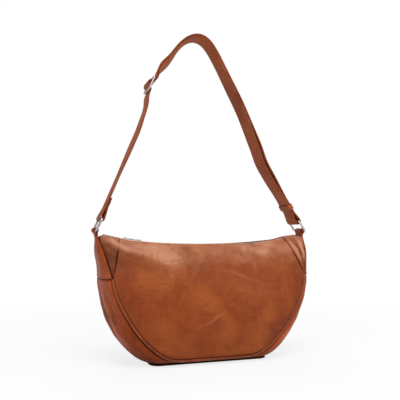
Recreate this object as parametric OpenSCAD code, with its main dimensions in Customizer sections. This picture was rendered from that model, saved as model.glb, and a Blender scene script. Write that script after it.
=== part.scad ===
/* [Body outline] */
// Height of the seam's top corner above the floor
corner_z = 177; // [150:1:200]
// Half of the body's length at the top corners, on the middle plane
body_half = 161.5; // [140:0.5:190]
// Half of the body's length where its side starts to curve in
side_half = 157; // [130:0.5:180]
// Height where the side starts to curve in
side_z = 124; // [100:1:135]
// Half length of the flat stretch under the body
floor_half = 88; // [70:1:100]
// Height of the gusset's underside over the floor
floor_gap = 2.8; // [2.8:0.1:5]

/* [Front and back seams] */
// Half of the seam's length at the top corners
seam_top_half = 158.5; // [140:0.5:180]
// Half of the seam's length where it starts to curve in
seam_side_half = 143.5; // [130:0.5:150]
// Height where the seam starts to curve in
seam_side_z = 124; // [110:1:135]
// Half length of the seam's flat stretch along the bottom
seam_floor_half = 58; // [45:1:75]
// Height of the seam's flat stretch
seam_floor_z = 8; // [6:0.5:14]
// Distance of the low seam from the middle plane
seam_depth = 50; // [35:1:65]
// Distance of the seam's top corner from the middle plane
seam_top_depth = 14.5; // [14:0.5:20]
// Height above which the seam closes in towards its top corner
taper_z = 80; // [60:1:100]

/* [Leather] */
// Thickness of the body leather
leather = 2; // [1.2:0.1:2.4]
// Swell of the front and back panels past a plain curve
crown = 8; // [2:0.5:12]
// Clearance between two sewn pieces
seam_gap = 0.4; // [0.3:0.05:0.6]
// Radius of the welt in the seams
welt_r = 1.5; // [1:0.1:2]
// Thickness of the lining
lining = 0.8; // [0.5:0.1:1.2]

/* [Base] */
// Length of the base panel
base_l = 176; // [140:1:190]
// Width of the base panel
base_w = 72; // [50:1:80]
// Corner radius of the base panel
base_r = 14; // [6:1:24]
// Thickness of the base panel
base_t = 2.5; // [1.5:0.1:2.5]
// Length of the board inside
board_l = 150; // [120:1:156]
// Width of the board inside
board_w = 56; // [40:1:60]
// Thickness of the board inside
board_t = 2; // [1:0.1:3]

/* [Zip] */
// Height of the panels' top edge in the middle
edge_z = 168; // [150:1:180]
// Rise of that edge over the half length of the zip
edge_rise = 8; // [5:0.5:12]
// Half length of the zip's tapes
zip_half = 128; // [100:1:128]
// Half width of the gap between the panels' top edges
mouth_half = 8; // [7:0.5:12]
// Thickness of a tape
tape_t = 0.8; // [0.5:0.1:1]
// Depth of the teeth's middle under the panels' edge
chain_drop = 3; // [3:0.1:4]
// Distance between two teeth of one tape
tooth_pitch = 4; // [3:0.5:6]
// Height of a tooth
tooth_h = 2; // [1.6:0.1:2.4]
// Reach of a tooth from the middle plane
tooth_w = 2.4; // [2:0.1:3]
// Length of the slider
slider_l = 13; // [10:0.5:16]
// Width of the slider
slider_w = 9; // [8:0.2:10]
// Thickness of a slider plate
slider_t = 1.2; // [0.8:0.1:1.4]
// Length of the puller past its pin
puller_l = 22; // [16:1:30]
// Width of the puller
puller_w = 5.2; // [4.6:0.2:7]
// Thickness of the puller
puller_t = 1.4; // [1:0.1:1.6]
// Diameter of the puller's pin
puller_pin = 1.3; // [1:0.1:1.5]

/* [Rings and tabs] */
// Diameter of the ring wire
wire_d = 3.2; // [2.5:0.1:4]
// Length of a ring between its two bars' middles
ring_l = 18; // [15:0.5:24]
// Height of the rings' lower bars over the body's top corners
ring_rise = 10; // [8:0.5:14]
// Inward lean of the left ring
left_ring_lean = 25; // [15:1:35]
// Inward lean of the right ring
right_ring_lean = 35; // [20:1:45]
// Width of a tab
tab_w = 20; // [14:1:26]
// Thickness of a tab's leather
tab_t = 1.8; // [1.2:0.1:2]
// Bend radius of a ring's corners
ring_bend = 3; // [2.4:0.1:5]
// Clearance of the leather round a ring's bar
bar_gap = 0.35; // [0.3:0.05:0.6]
// Clearance beside the leather in a ring or in the buckle
side_play = 0.5; // [0.4:0.1:1.5]

/* [Strap] */
// Width of the strap
strap_w = 30; // [24:1:34]
// Thickness of one strap layer
strap_t = 2.4; // [2:0.1:3]
// Height of the strap's top over the rings' lower bars
strap_rise = 297; // [240:1:340]
// Half of the strap's reach over the body
strap_half = 150; // [140:1:160]
// Lean of the strap's left end
left_lean = 23; // [16:0.5:28]
// Lean of the strap's right end
right_lean = 31.5; // [24:0.5:36]
// Height of the lower end of the strap's bending stretch
bend_low_z = 250; // [240:1:256]
// Height of the upper end of the strap's bending stretch
bend_high_z = 290; // [284:1:300]
// Length of the open loop round a ring
loop_l = 19; // [15:1:24]
// Length of the sewn overlap over the left loop
overlap_l = 14; // [8:1:18]
// Extra clearance in the loop round the right ring
right_loop_play = 0.8; // [0.7:0.1:1.2]

/* [Buckle and keeper] */
// Distance between the middles of the buckle's end bars
buckle_l = 21; // [20:0.5:26]
// Diameter of the buckle's wire
buckle_d = 3; // [2.4:0.1:3.2]
// Bend radius of the buckle's corners
buckle_bend = 2.5; // [2:0.1:4]
// Diameter of the buckle's middle bar
middle_bar_d = 2.5; // [2:0.1:2.6]
// Lean of the strap at the buckle
buckle_lean = 22.5; // [18:0.5:28]
// Travel of the buckle up the strap
buckle_travel = 10; // [4:1:14]
// Clearance between the buckle and the straps at either end of its travel
buckle_play = 1; // [0.6:0.1:2]
// Thickness of the strap's pared end round the middle bar
pared_t = 1.6; // [1.2:0.1:1.8]
// Width of the keeper along the strap
keeper_w = 9; // [6:0.5:12]
// Wall of the keeper
keeper_t = 1.4; // [1:0.1:2]
// Place of the keeper's middle over the right ring's upper bar
keeper_s = 26; // [24:0.5:30]

/* [Hidden] */

// Colours as photographed
tan_leather = [0.60, 0.30, 0.16];
dark_leather = [0.45, 0.21, 0.12];
pale_leather = [0.68, 0.40, 0.26];
lining_cloth = [0.50, 0.42, 0.34];
tape_cloth = [0.25, 0.14, 0.10];
steel = [0.80, 0.80, 0.82];

// Facets of round wire and of rounded corners
fn_wire = 32;
// Overrun of a cut past the face it opens
cut = 1;

// Shares of the half outline's parameter that are flat floor and curved corner
floor_share = 0.22;
curve_share = 0.68;
// Powers of the outline's rounded corner and of the sections across the body
side_power = 1.8;
seam_power = 1.6;
taper_power = 2.5;
fold_power = 3;
fold_share = 0.8;
corner_fold_power = 1.5;
gusset_power = 3;
gusset_share = 0.6;
// Rise of the gusset at its seams, over the distance across it
gusset_edge_share = 0.6;
// Part of the panels' crown that is left at the corner patches
corner_crown_share = 0.12;
// Part of the half outline at which the corner patches and the cross seams start
patch_share = 0.665;
// Length of the top edge as a share of the seam under it
edge_share = 0.892;
edge_end_share = 0.945;
// Part of the half outline at which the corner patches end, under the tabs
patch_end_share = 0.97;
// Step of the differences that give a surface's normal
tiny = 0.0005;

function mix(a, b, k) = a + (b - a) * k;
function unit_part(k) = min(1, max(0, k));
function smooth(k) = k * k * (3 - 2 * k);
function unit(v) = v / norm(v);

// Half outline in X and Z: flat floor, rounded corner and straight side
function outline(t, flat, side, top, low, knee, high, power) =
    let (a = abs(t), way = t < 0 ? -1 : 1)
    a < floor_share ? [way * flat * a / floor_share, low]
    : a < curve_share ?
        let (q = 90 * (a - floor_share) / (curve_share - floor_share))
        [way * (flat + (side - flat) * pow(sin(q), 2 / power)),
         low + (knee - low) * (1 - pow(cos(q), 2 / power))]
    : let (k = (a - curve_share) / (1 - curve_share))
        [way * mix(side, top, k), mix(knee, high, k)];

function middle_line(t) =
    outline(t, floor_half, side_half, body_half, floor_gap, side_z, corner_z + corner_lift,
            side_power);
function seam_line(t) =
    outline(t, seam_floor_half, seam_side_half, seam_top_half, seam_floor_z, seam_side_z,
            corner_z, seam_power);
function seam_y(z) =
    mix(seam_depth, seam_top_depth,
        pow(unit_part((z - taper_z) / (corner_z - taper_z)), taper_power));
function seam(t) =
    let (p = seam_line(t))
    [p[0], -seam_y(p[1]), p[1]];

// The gusset's middle ends a little higher than its seams
corner_lift = seam_gap * 2;
// Half of a sewn gap as a part of the outline's parameter
gap_share = seam_gap * tiny / norm(seam(patch_share + tiny) - seam(patch_share - tiny));

// The panels' top edge is an arc, and the zip runs along it
edge_radius = (pow(zip_half, 2) + pow(edge_rise, 2)) / (2 * edge_rise);
function arc_z(x) = edge_z + edge_radius - sqrt(pow(edge_radius, 2) - pow(x, 2));
function edge_x(t) =
    seam_line(t)[0]
    * mix(edge_share, edge_end_share, unit_part((abs(t) - patch_share) / (1 - patch_share)));

// The mouth closes between the zip's end and the corner
mouth_end = edge_x(1) - zip_half;
function top_edge(t) =
    let (x = edge_x(t),
         k = unit_part((abs(x) - zip_half) / max(mouth_end, seam_gap)))
    [x, -mix(mouth_half, seam_gap / 2, smooth(k)), arc_z(x)];

// Front side of the body, from the seam at w = 0 to the top edge at w = 1
function panel_point(t, w) =
    let (s = seam(t), e = top_edge(t),
         k = pow(unit_part(abs(t) / patch_share), 2),
         power = mix(fold_power, corner_fold_power, k),
         depth = mix(-e[1], -s[1], pow(1 - pow(unit_part(w), power), mix(fold_share, 1, k)))
             + crown * mix(1, corner_crown_share, k) * 4 * w * (1 - w))
    [mix(s[0], e[0], w), -depth, mix(s[2], e[2], w)];

// Gusset, from the front seam at w = -1 to the back seam at w = 1
function gusset_point(t, w) =
    let (s = seam(t), m = middle_line(t),
         k = pow(1 - pow(min(1, abs(w)), gusset_power), gusset_share))
    [mix(s[0], m[0], k), -s[1] * w, mix(s[2], m[1], k)];

function surface_point(gusset, t, w) = gusset ? gusset_point(t, w) : panel_point(t, w);
function surface_normal(gusset, t, w) =
    let (along = surface_point(gusset, t + tiny, w) - surface_point(gusset, t - tiny, w),
         across = surface_point(gusset, t, w + tiny) - surface_point(gusset, t, w - tiny),
         turn = cross(along, across))
    unit(gusset ? -turn : turn);

// Edges of the sewn pieces: the panels start past the welt, and so does the gusset
welt_gap = welt_r + seam_gap;
function seam_clear(t) = abs(t) < patch_share ? welt_gap : seam_gap;
function seam_way(t) = unit(seam(t + tiny) - seam(t - tiny));
function panel_start(t) = seam_clear(t) / norm(cross(top_edge(t) - seam(t), seam_way(t)));
function gusset_end(t) = 1 - seam_clear(t) * gusset_edge_share / -seam(t)[1];

// Closed skin between two depths under a surface, over a patch of its parameters
module skin(gusset, t_low, t_high, t_steps, w_steps, depth_out, depth_in, top_share = 1) {
    wide = w_steps + 1;
    layer = (t_steps + 1) * wide;
    points = [
        for (depth = [depth_out, depth_in], i = [0 : t_steps], j = [0 : w_steps])
            let (t = mix(t_low, t_high, i / t_steps),
                 w_low = gusset ? -gusset_end(t) : panel_start(t),
                 w_high = gusset ? gusset_end(t) : mix(w_low, 1 - tiny, top_share),
                 w = mix(w_low, w_high, j / w_steps))
            surface_point(gusset, t, w) - depth * surface_normal(gusset, t, w)
    ];
    faces = [
        for (i = [0 : t_steps - 1], j = [0 : w_steps - 1])
            let (a = i * wide + j, b = a + wide)
            each [[a, b, b + 1], [a, b + 1, a + 1],
                  [layer + a, layer + b + 1, layer + b], [layer + a, layer + a + 1, layer + b + 1]],
        for (i = [0 : t_steps - 1])
            let (a = i * wide, b = a + wide, c = a + w_steps, d = b + w_steps)
            each [[a, layer + a, layer + b], [a, layer + b, b],
                  [c, layer + d, layer + c], [c, d, layer + d]],
        for (j = [0 : w_steps - 1])
            let (a = j, b = t_steps * wide + j)
            each [[a, a + 1, layer + a + 1], [a, layer + a + 1, layer + a],
                  [b, layer + b + 1, b + 1], [b, layer + b, layer + b + 1]]
    ];
    polyhedron(points, gusset ? faces : [for (f = faces) [f[0], f[2], f[1]]]);
}

module back_side() {
    mirror([0, 1, 0]) children();
}
module left_side() {
    mirror([1, 0, 0]) children();
}

panel_limit = patch_share - gap_share;
patch_start = patch_share + gap_share;

// Steps of a panel's mesh along the seam and up from it
panel_steps = 44;
panel_rows = 12;
module front_panel() {
    color(tan_leather)
        skin(false, -panel_limit, panel_limit, panel_steps, panel_rows, 0, leather);
}
module back_panel() {
    back_side() front_panel();
}
module corner_patch() {
    color(tan_leather) skin(false, patch_start, patch_end_share, 6, 10, 0, leather);
}
module front_right_corner() {
    corner_patch();
}
module front_left_corner() {
    left_side() corner_patch();
}
module back_right_corner() {
    back_side() corner_patch();
}
module back_left_corner() {
    back_side() left_side() corner_patch();
}
module lower_gusset() {
    color(dark_leather) skin(true, -panel_limit, panel_limit, 52, 12, 0, leather);
}
module right_upper_gusset() {
    color(dark_leather) skin(true, patch_start, 1, 6, 10, 0, leather);
}
module left_upper_gusset() {
    left_side() right_upper_gusset();
}

// Linings lie against the leather, with their clearance, and end under the zip. Their meshes
// follow the panels' steps, so that the two faces stay parallel
lining_out = leather + seam_gap;
lining_in = lining_out + lining;
lining_steps = 62;
lining_rows = 11;
lining_end_share = panel_limit * lining_steps / panel_steps;
module front_lining() {
    color(lining_cloth)
        skin(false, -lining_end_share, lining_end_share, lining_steps, lining_rows,
             lining_out, lining_in, lining_rows / panel_rows);
}
module back_lining() {
    back_side() front_lining();
}
module gusset_lining() {
    color(lining_cloth)
        skin(true, -lining_end_share, lining_end_share, 36, 9, lining_out, lining_in);
}

// Round welt in the seam, from one cross seam of the gusset to the other
welt_sides = 8;
welt_rings = 64;
module front_welt() {
    points = [
        for (i = [0 : welt_rings])
            let (t = mix(-panel_limit, panel_limit, i / welt_rings),
                 c = seam(t),
                 along = seam_way(t),
                 out = unit(cross(along, [0, 1, 0])),
                 up = cross(along, out))
            for (j = [0 : welt_sides - 1])
                let (q = 360 * j / welt_sides)
                c + welt_r * (cos(q) * out + sin(q) * up)
    ];
    last = welt_rings * welt_sides;
    faces = [
        for (i = [0 : welt_rings - 1], j = [0 : welt_sides - 1])
            let (a = i * welt_sides + j,
                 b = i * welt_sides + (j + 1) % welt_sides)
            each [[a, b + welt_sides, b], [a, a + welt_sides, b + welt_sides]],
        for (j = [1 : welt_sides - 2])
            each [[0, j, j + 1], [last, last + j + 1, last + j]]
    ];
    color(pale_leather) polyhedron(points, faces);
}
module back_welt() {
    back_side() front_welt();
}

// Flat plate with round corners, its underside at z = 0
module round_plate(l, w, r, h) {
    translate([-l / 2 + r, -w / 2, 0]) cube([l - 2 * r, w, h]);
    translate([-l / 2, -w / 2 + r, 0]) cube([l, w - 2 * r, h]);
    for (x = [-1, 1], y = [-1, 1])
        translate([x * (l / 2 - r), y * (w / 2 - r), 0])
            cylinder(r = r, h = h, $fn = fn_wire * 2);
}
module base_panel() {
    color(dark_leather) round_plate(base_l, base_w, base_r, base_t);
}

// The board lies on the gusset's lining, which is lowest along the middle
board_seat = gusset_point(0, board_w / 2 / seam_depth)[2] + lining_in + seam_gap;
module base_board() {
    color(lining_cloth)
        translate([0, 0, board_seat]) round_plate(board_l, board_w, base_r / 2, board_t);
}

// Turns a piece drawn at the arc's lowest point, where the chain's middle is at z = 0,
// to its place along the arc
chain_radius = edge_radius + chain_drop;
module on_arc(x) {
    translate([0, 0, edge_z + edge_radius])
        rotate([0, -asin(x / edge_radius), 0])
            translate([0, 0, -chain_radius]) children();
}

// Strip that follows the arc, from y_low to y_high and from z_low to z_high about the chain
module arc_strip(half, y_low, y_high, z_low, z_high) {
    sweep = asin(half / edge_radius);
    translate([0, 0, edge_z + edge_radius])
        rotate([90, 0, 0]) rotate([0, 0, -90 - sweep])
            rotate_extrude(angle = 2 * sweep, $fn = 360)
                translate([chain_radius - z_high, -y_high]) square([z_high - z_low, y_high - y_low]);
}

tape_reach = mouth_half - seam_gap;
module front_zip_tape() {
    color(tape_cloth)
        arc_strip(zip_half, -tape_reach, -tooth_w, -tape_t / 2, tape_t / 2);
}
module back_zip_tape() {
    back_side() front_zip_tape();
}

// Teeth of the two tapes lie between each other, half a pitch apart
stop_l = 2;
slider_x = -zip_half + stop_l + seam_gap + slider_l / 2;
teeth_half = zip_half - tooth_pitch * 1.5;
tooth_count = floor(2 * teeth_half / tooth_pitch);
tooth_l = tooth_pitch / 2 - seam_gap / 2;
// Reach of a tooth past the middle plane, between its neighbours
tooth_bite = 1;
module teeth_row(shift) {
    color(steel)
        for (i = [0 : tooth_count - 1])
            on_arc(-teeth_half + tooth_pitch * (i + 1 / 2) + shift)
                translate([-tooth_l / 2, -tooth_w, -tooth_h / 2])
                    cube([tooth_l, tooth_w + tooth_bite, tooth_h]);
}
module front_zip_teeth() {
    teeth_row(-tooth_pitch / 4);
}
module back_zip_teeth() {
    back_side() teeth_row(tooth_pitch / 4);
}

// Two stops at the closed end and one across both tapes at the open end
module zip_stops() {
    color(steel) {
        for (y = [-1, 1])
            on_arc(-zip_half + stop_l / 2)
                translate([-stop_l / 2, y < 0 ? -tooth_w : seam_gap / 2, -tooth_h / 2])
                    cube([stop_l, tooth_w - seam_gap / 2, tooth_h]);
        on_arc(zip_half - stop_l)
            translate([-stop_l, -tooth_w, -tooth_h / 2])
                cube([2 * stop_l, 2 * tooth_w, tooth_h]);
    }
}

// Slider: two plates round the chain, a post at its closed end, flanges and a bridge
plate_low = tooth_h / 2 + seam_gap;
bridge_l = 8;
bridge_t = 1.8;
bridge_rise = puller_pin + 2 * seam_gap;
post_l = 2;
pin_z = plate_low + slider_t + bridge_rise / 2;
module slider_half_body() {
    translate([-slider_l / 2, -slider_w / 2, plate_low])
        cube([slider_l, slider_w, slider_t]);
    for (y = [-1, 1])
        translate([-slider_l / 2, y * (slider_w - slider_t) / 2 - slider_t / 2,
                   tape_t / 2 + seam_gap])
            cube([slider_l, slider_t, plate_low - tape_t / 2 - seam_gap + slider_t / 2]);
}
module zip_slider() {
    color(steel) on_arc(slider_x) {
        slider_half_body();
        mirror([0, 0, 1]) slider_half_body();
        translate([-slider_l / 2, -bridge_t / 2, -plate_low - slider_t / 2])
            cube([post_l, bridge_t, 2 * plate_low + slider_t]);
        for (x = [-1, 1])
            translate([x * (bridge_l - bridge_t) / 2 - bridge_t / 2, -bridge_t / 2,
                       plate_low + slider_t / 2])
                cube([bridge_t, bridge_t, bridge_rise + slider_t / 2 + bridge_t / 2]);
        translate([-bridge_l / 2, -bridge_t / 2, plate_low + slider_t + bridge_rise])
            cube([bridge_l, bridge_t, bridge_t / 2]);
    }
}

// Puller: a pin under the bridge, two cheeks beside it and a tongue with a round end
cheek_in = bridge_t / 2 + seam_gap;
cheek_t = puller_w / 2 - cheek_in;
cheek_l = bridge_l / 2 + seam_gap + puller_pin;
hole_r = 1.2;
module zip_puller() {
    color(steel) on_arc(slider_x) translate([0, 0, pin_z]) {
        rotate([90, 0, 0]) cylinder(d = puller_pin, h = puller_w, center = true, $fn = fn_wire);
        for (y = [-1, 1])
            translate([0, y * (cheek_in + cheek_t / 2), 0]) {
                rotate([90, 0, 0]) cylinder(d = puller_t, h = cheek_t, center = true, $fn = fn_wire);
                translate([0, -cheek_t / 2, -puller_t / 2]) cube([cheek_l, cheek_t, puller_t]);
            }
        difference() {
            union() {
                translate([cheek_l - cut / 2, -puller_w / 2, -puller_t / 2])
                    cube([puller_l - cheek_l + cut / 2, puller_w, puller_t]);
                translate([puller_l, 0, -puller_t / 2])
                    cylinder(d = puller_w, h = puller_t, $fn = fn_wire);
            }
            translate([puller_l, 0, -puller_t / 2 - cut])
                cylinder(r = hole_r, h = puller_t + 2 * cut, $fn = fn_wire);
        }
    }
}

// Thick line along 2-D points, between two distances to its left
function line_normal(points, i) =
    let (n = len(points) - 1,
         d = unit(points[min(n, i + 1)] - points[max(0, i - 1)]))
    [-d[1], d[0]];
module ribbon(points, low, high, width) {
    n = len(points) - 1;
    rotate([90, 0, 0])
        linear_extrude(width, center = true)
            polygon(concat(
                [for (i = [0 : n]) points[i] + high * line_normal(points, i)],
                [for (i = [n : -1 : 0]) points[i] + low * line_normal(points, i)]));
}

// Open loop round a bar at the origin: legs at -leg and leg, from height a and to height b
loop_steps = 10;
arc_steps = 16;
function loop_line(leg, r, close, a, b) = concat(
    a > close ? [[-leg, a]] : [],
    [for (i = [0 : loop_steps - 1])
        [-mix(leg, r, smooth(i / loop_steps)), close * (1 - i / loop_steps)]],
    [for (i = [0 : arc_steps])
        [-r * cos(180 * i / arc_steps), -r * sin(180 * i / arc_steps)]],
    [for (i = [1 : loop_steps])
        [mix(r, leg, smooth(i / loop_steps)), close * i / loop_steps]],
    b > close ? [[leg, b]] : []);

// Point at a distance s from p, up a line that leans from the vertical
function climb(p, lean, s) = p + s * [sin(lean), cos(lean)];

// Places of the rings' bars: the lower ones lie over the ends of the body
ring_x = body_half;
ring_z = corner_z + ring_rise;
left_low = [-ring_x, ring_z];
right_low = [ring_x, ring_z];
left_high = climb(left_low, left_ring_lean, ring_l);
right_high = climb(right_low, -right_ring_lean, ring_l);
module stand_at(p, lean) {
    translate([p[0], 0, p[1]]) rotate([0, lean, 0]) children();
}

// Tabs: a strip folded round the ring's lower bar, its legs down on the body's corner
tab_lean = 12;
tab_close = 4;
tab_legs = ring_rise - corner_lift - seam_gap;
tab_r = wire_d / 2 + bar_gap + tab_t / 2;
module tab() {
    color(dark_leather)
        stand_at(right_low, tab_lean + 180)
            ribbon(loop_line(tab_t / 2 + seam_gap / 4, tab_r, tab_close, tab_legs, tab_legs),
                   -tab_t / 2, tab_t / 2, tab_w);
}
module right_tab() {
    tab();
}
module left_tab() {
    left_side() tab();
}

// Wire frame in the YZ plane: straight bars, round corners, its lower bar at the origin
module wire_frame(length, width, wire, bend) {
    for (z = [0, length])
        translate([0, 0, z]) rotate([90, 0, 0])
            cylinder(d = wire, h = width - 2 * bend, center = true, $fn = fn_wire);
    for (y = [-1, 1])
        translate([0, y * width / 2, bend])
            cylinder(d = wire, h = length - 2 * bend, $fn = fn_wire);
    for (y = [0, 1], z = [0, 1])
        mirror([0, y, 0])
            translate([0, width / 2 - bend, z == 0 ? bend : length - bend])
                mirror([0, 0, z])
                    rotate([0, 90, 0])
                        rotate_extrude(angle = 90, $fn = fn_wire)
                            translate([bend, 0]) circle(d = wire, $fn = fn_wire);
}
ring_width = strap_w + wire_d + 2 * side_play;
module left_ring() {
    color(steel) stand_at(left_low, left_ring_lean)
        wire_frame(ring_l, ring_width, wire_d, ring_bend);
}
module right_ring() {
    color(steel) stand_at(right_low, -right_ring_lean)
        wire_frame(ring_l, ring_width, wire_d, ring_bend);
}

// Strap: one long strip that is double on the right and over the top
leg = strap_t / 2 + seam_gap / 2;
function left_s(z) = (z - left_high[1]) / cos(left_lean);
function right_s(z) = (z - right_high[1]) / cos(right_lean);
module strap_left_end() {
    r = wire_d / 2 + bar_gap + strap_t / 2;
    color(tan_leather) stand_at(left_high, left_lean)
        ribbon(loop_line(leg, r, loop_l, left_s(bend_low_z), loop_l + overlap_l),
               -strap_t / 2, strap_t / 2, strap_w);
}
module strap_right_loop() {
    r = wire_d / 2 + bar_gap + right_loop_play + strap_t / 2;
    high = right_s(bend_low_z);
    color(tan_leather) stand_at(right_high, -right_lean)
        ribbon(loop_line(leg, r, loop_l, high, high), -strap_t / 2, strap_t / 2, strap_w);
}
module straight_strip(p, lean, x, s_low, s_high) {
    stand_at(p, lean)
        translate([x - strap_t / 2, -strap_w / 2, s_low])
            cube([strap_t, strap_w, s_high - s_low]);
}
module strap_bends() {
    color(tan_leather) {
        straight_strip(left_high, left_lean, -leg, left_s(bend_low_z), left_s(bend_high_z));
        for (x = [-leg, leg])
            straight_strip(right_high, -right_lean, x, right_s(bend_low_z), right_s(bend_high_z));
    }
}

// Smooth line through points, which starts and ends along given leans
function spline_point(p, i, k, lean_in, lean_out) =
    let (n = len(p) - 1,
         before = i == 0 ? climb(p[1], lean_in, -2 * norm(p[1] - p[0])) : p[i - 1],
         after = i + 2 > n ? climb(p[n - 1], lean_out, 2 * norm(p[n] - p[n - 1])) : p[i + 2])
    ((2 * p[i]) + (p[i + 1] - before) * k + (2 * before - 5 * p[i] + 4 * p[i + 1] - after) * k * k
        + (3 * p[i] - before - 3 * p[i + 1] + after) * k * k * k) / 2;
spline_steps = 5;
function spline(p, lean_in, lean_out) = concat(
    [for (i = [0 : len(p) - 2], j = [0 : spline_steps - 1])
        spline_point(p, i, j / spline_steps, lean_in, lean_out)],
    [p[len(p) - 1]]);

// Places on the strap, as shares of its half reach and of its rise over the lower bars
function strap_place(share) = [share[0] * strap_half, ring_z + share[1] * strap_rise];
buckle_place_share = [-0.535, 0.717];
left_run_shares = [[-0.72, 0.421], [-0.665, 0.485], [-0.625, 0.55], [-0.585, 0.61]];
over_shares = [[-0.36, 0.859], [-0.28, 0.922], [-0.188, 0.969], [-0.085, 0.991],
               [0.012, 0.975], [0.09, 0.927], [0.165, 0.862], [0.268, 0.764],
               [0.395, 0.643], [0.507, 0.519], [0.593, 0.421]];
buckle_at = strap_place(buckle_place_share);
weave_low_s = -buckle_l / 2 - buckle_d / 2 - buckle_play;
weave_high_s = buckle_travel - weave_low_s;
left_top = climb(left_high, left_lean, left_s(bend_high_z) + seam_gap / 2);
right_top = climb(right_high, -right_lean, right_s(bend_high_z) + seam_gap / 2);
weave_low = climb(buckle_at, buckle_lean, weave_low_s);
weave_high = climb(buckle_at, buckle_lean, weave_high_s);

// Line that leaves one end and reaches the other along straight stubs, so its ends are square
stub = strap_t;
function run_line(low, lean_low, shares, high, lean_high) = concat(
    [low],
    spline(concat([climb(low, lean_low, stub)], [for (s = shares) strap_place(s)],
                  [climb(high, lean_high, -stub)]),
           lean_low, lean_high),
    [high]);
left_line = run_line(left_top, left_lean, left_run_shares, weave_low, buckle_lean);
over_line = run_line(weave_high, buckle_lean, over_shares, right_top, 180 - right_lean);
module strap_left_run() {
    color(tan_leather) ribbon(left_line, leg - strap_t / 2, leg + strap_t / 2, strap_w);
}
module strap_outer_layer() {
    color(tan_leather) ribbon(over_line, leg - strap_t / 2, leg + strap_t / 2, strap_w);
}
module strap_inner_layer() {
    color(tan_leather) ribbon(over_line, -leg - strap_t / 2, -leg + strap_t / 2, strap_w);
}

// Strap in the buckle: the running layer goes over the middle bar and under the end bars
end_bar_s = buckle_l / 2;
buckle_x = -leg - strap_t / 2 - seam_gap / 2 - buckle_d / 2;
eye_r = middle_bar_d / 2 + seam_gap / 2 + pared_t / 2;
eye_lean = 20;
over_x = buckle_x - middle_bar_d / 2 - seam_gap - pared_t - strap_t / 2;
weave_steps = 24;
rise_low = 0.8;
rise_high = end_bar_s - rise_low;
function weave_x(s) =
    mix(over_x, -leg, smooth(unit_part((abs(s) - rise_low) / (rise_high - rise_low))));
module strap_weave() {
    color(tan_leather) stand_at(buckle_at, buckle_lean) {
        ribbon(concat([[-leg, weave_low_s + seam_gap / 2]],
                      [for (i = [-weave_steps : weave_steps])
                          let (s = end_bar_s * i / weave_steps)
                          [weave_x(s), s]],
                      [[-leg, weave_high_s - seam_gap / 2]]),
               -strap_t / 2, strap_t / 2, strap_w);
        // Pared end, sewn back on itself round the middle bar
        ribbon(concat([[leg + strap_t / 2 - pared_t / 2, weave_high_s - seam_gap / 2],
                       [leg + strap_t / 2 - pared_t / 2, end_bar_s]],
                      [for (i = [0 : arc_steps])
                          let (q = -eye_lean + (180 + 2 * eye_lean) * i / arc_steps)
                          [buckle_x + eye_r * cos(q), -eye_r * sin(q)]]),
               -pared_t / 2, pared_t / 2, strap_w);
    }
}

buckle_w = strap_w + buckle_d + 2 * side_play;
module slider_buckle() {
    color(steel) stand_at(buckle_at, buckle_lean) translate([buckle_x, 0, 0]) {
        translate([0, 0, -end_bar_s])
            wire_frame(buckle_l, buckle_w, buckle_d, buckle_bend);
        rotate([90, 0, 0])
            cylinder(d = middle_bar_d, h = buckle_w, center = true, $fn = fn_wire);
    }
}

// Keeper: a band round both layers, free to slide up the straight end
module strap_keeper() {
    inner = [2 * leg + strap_t + 2 * seam_gap, strap_w + 2 * seam_gap, keeper_w + 2 * cut];
    outer = [inner[0] + 2 * keeper_t, inner[1] + 2 * keeper_t, keeper_w];
    color(tan_leather) stand_at(right_high, -right_lean) translate([0, 0, keeper_s])
        difference() {
            cube(outer, center = true);
            cube(inner, center = true);
        }
}

front_panel();
back_panel();
front_left_corner();
front_right_corner();
back_left_corner();
back_right_corner();
lower_gusset();
left_upper_gusset();
right_upper_gusset();
front_welt();
back_welt();
base_panel();
base_board();
front_lining();
back_lining();
gusset_lining();
front_zip_tape();
back_zip_tape();
front_zip_teeth();
back_zip_teeth();
zip_stops();
zip_slider();
zip_puller();
left_tab();
right_tab();
left_ring();
right_ring();
strap_left_end();
strap_right_loop();
strap_bends();
strap_left_run();
strap_outer_layer();
strap_inner_layer();
strap_weave();
slider_buckle();
strap_keeper();
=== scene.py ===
"""Half-moon crossbody bag: leather, thread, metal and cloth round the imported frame."""

import logging
import math
from dataclasses import dataclass, field
from enum import Enum
from typing import Callable, Sequence

import bmesh
import bpy
import numpy as np
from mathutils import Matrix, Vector, noise


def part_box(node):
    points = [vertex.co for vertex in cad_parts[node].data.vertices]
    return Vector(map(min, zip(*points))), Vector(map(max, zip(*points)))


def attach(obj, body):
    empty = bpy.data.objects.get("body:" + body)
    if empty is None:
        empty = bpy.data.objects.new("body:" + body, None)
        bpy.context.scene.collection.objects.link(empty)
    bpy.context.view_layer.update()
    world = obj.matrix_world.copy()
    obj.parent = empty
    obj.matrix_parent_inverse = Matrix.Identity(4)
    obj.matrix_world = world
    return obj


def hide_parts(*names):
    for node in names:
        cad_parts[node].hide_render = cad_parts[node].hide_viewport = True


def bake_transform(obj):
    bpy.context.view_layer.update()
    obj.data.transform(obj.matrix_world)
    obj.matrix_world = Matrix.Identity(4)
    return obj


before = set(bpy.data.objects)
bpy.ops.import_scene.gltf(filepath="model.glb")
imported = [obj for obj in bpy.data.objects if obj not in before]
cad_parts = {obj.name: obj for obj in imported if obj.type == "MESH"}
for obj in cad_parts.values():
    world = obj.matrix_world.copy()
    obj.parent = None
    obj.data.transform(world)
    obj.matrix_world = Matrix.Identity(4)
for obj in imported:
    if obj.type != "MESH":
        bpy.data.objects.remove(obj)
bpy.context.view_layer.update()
log = logging.getLogger("bag")

MM = 0.001
Colour = tuple[float, float, float]
Place = tuple[float, float, float]
Field = np.ndarray
WHITE: Colour = (1.0, 1.0, 1.0)


# Shader expressions

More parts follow.
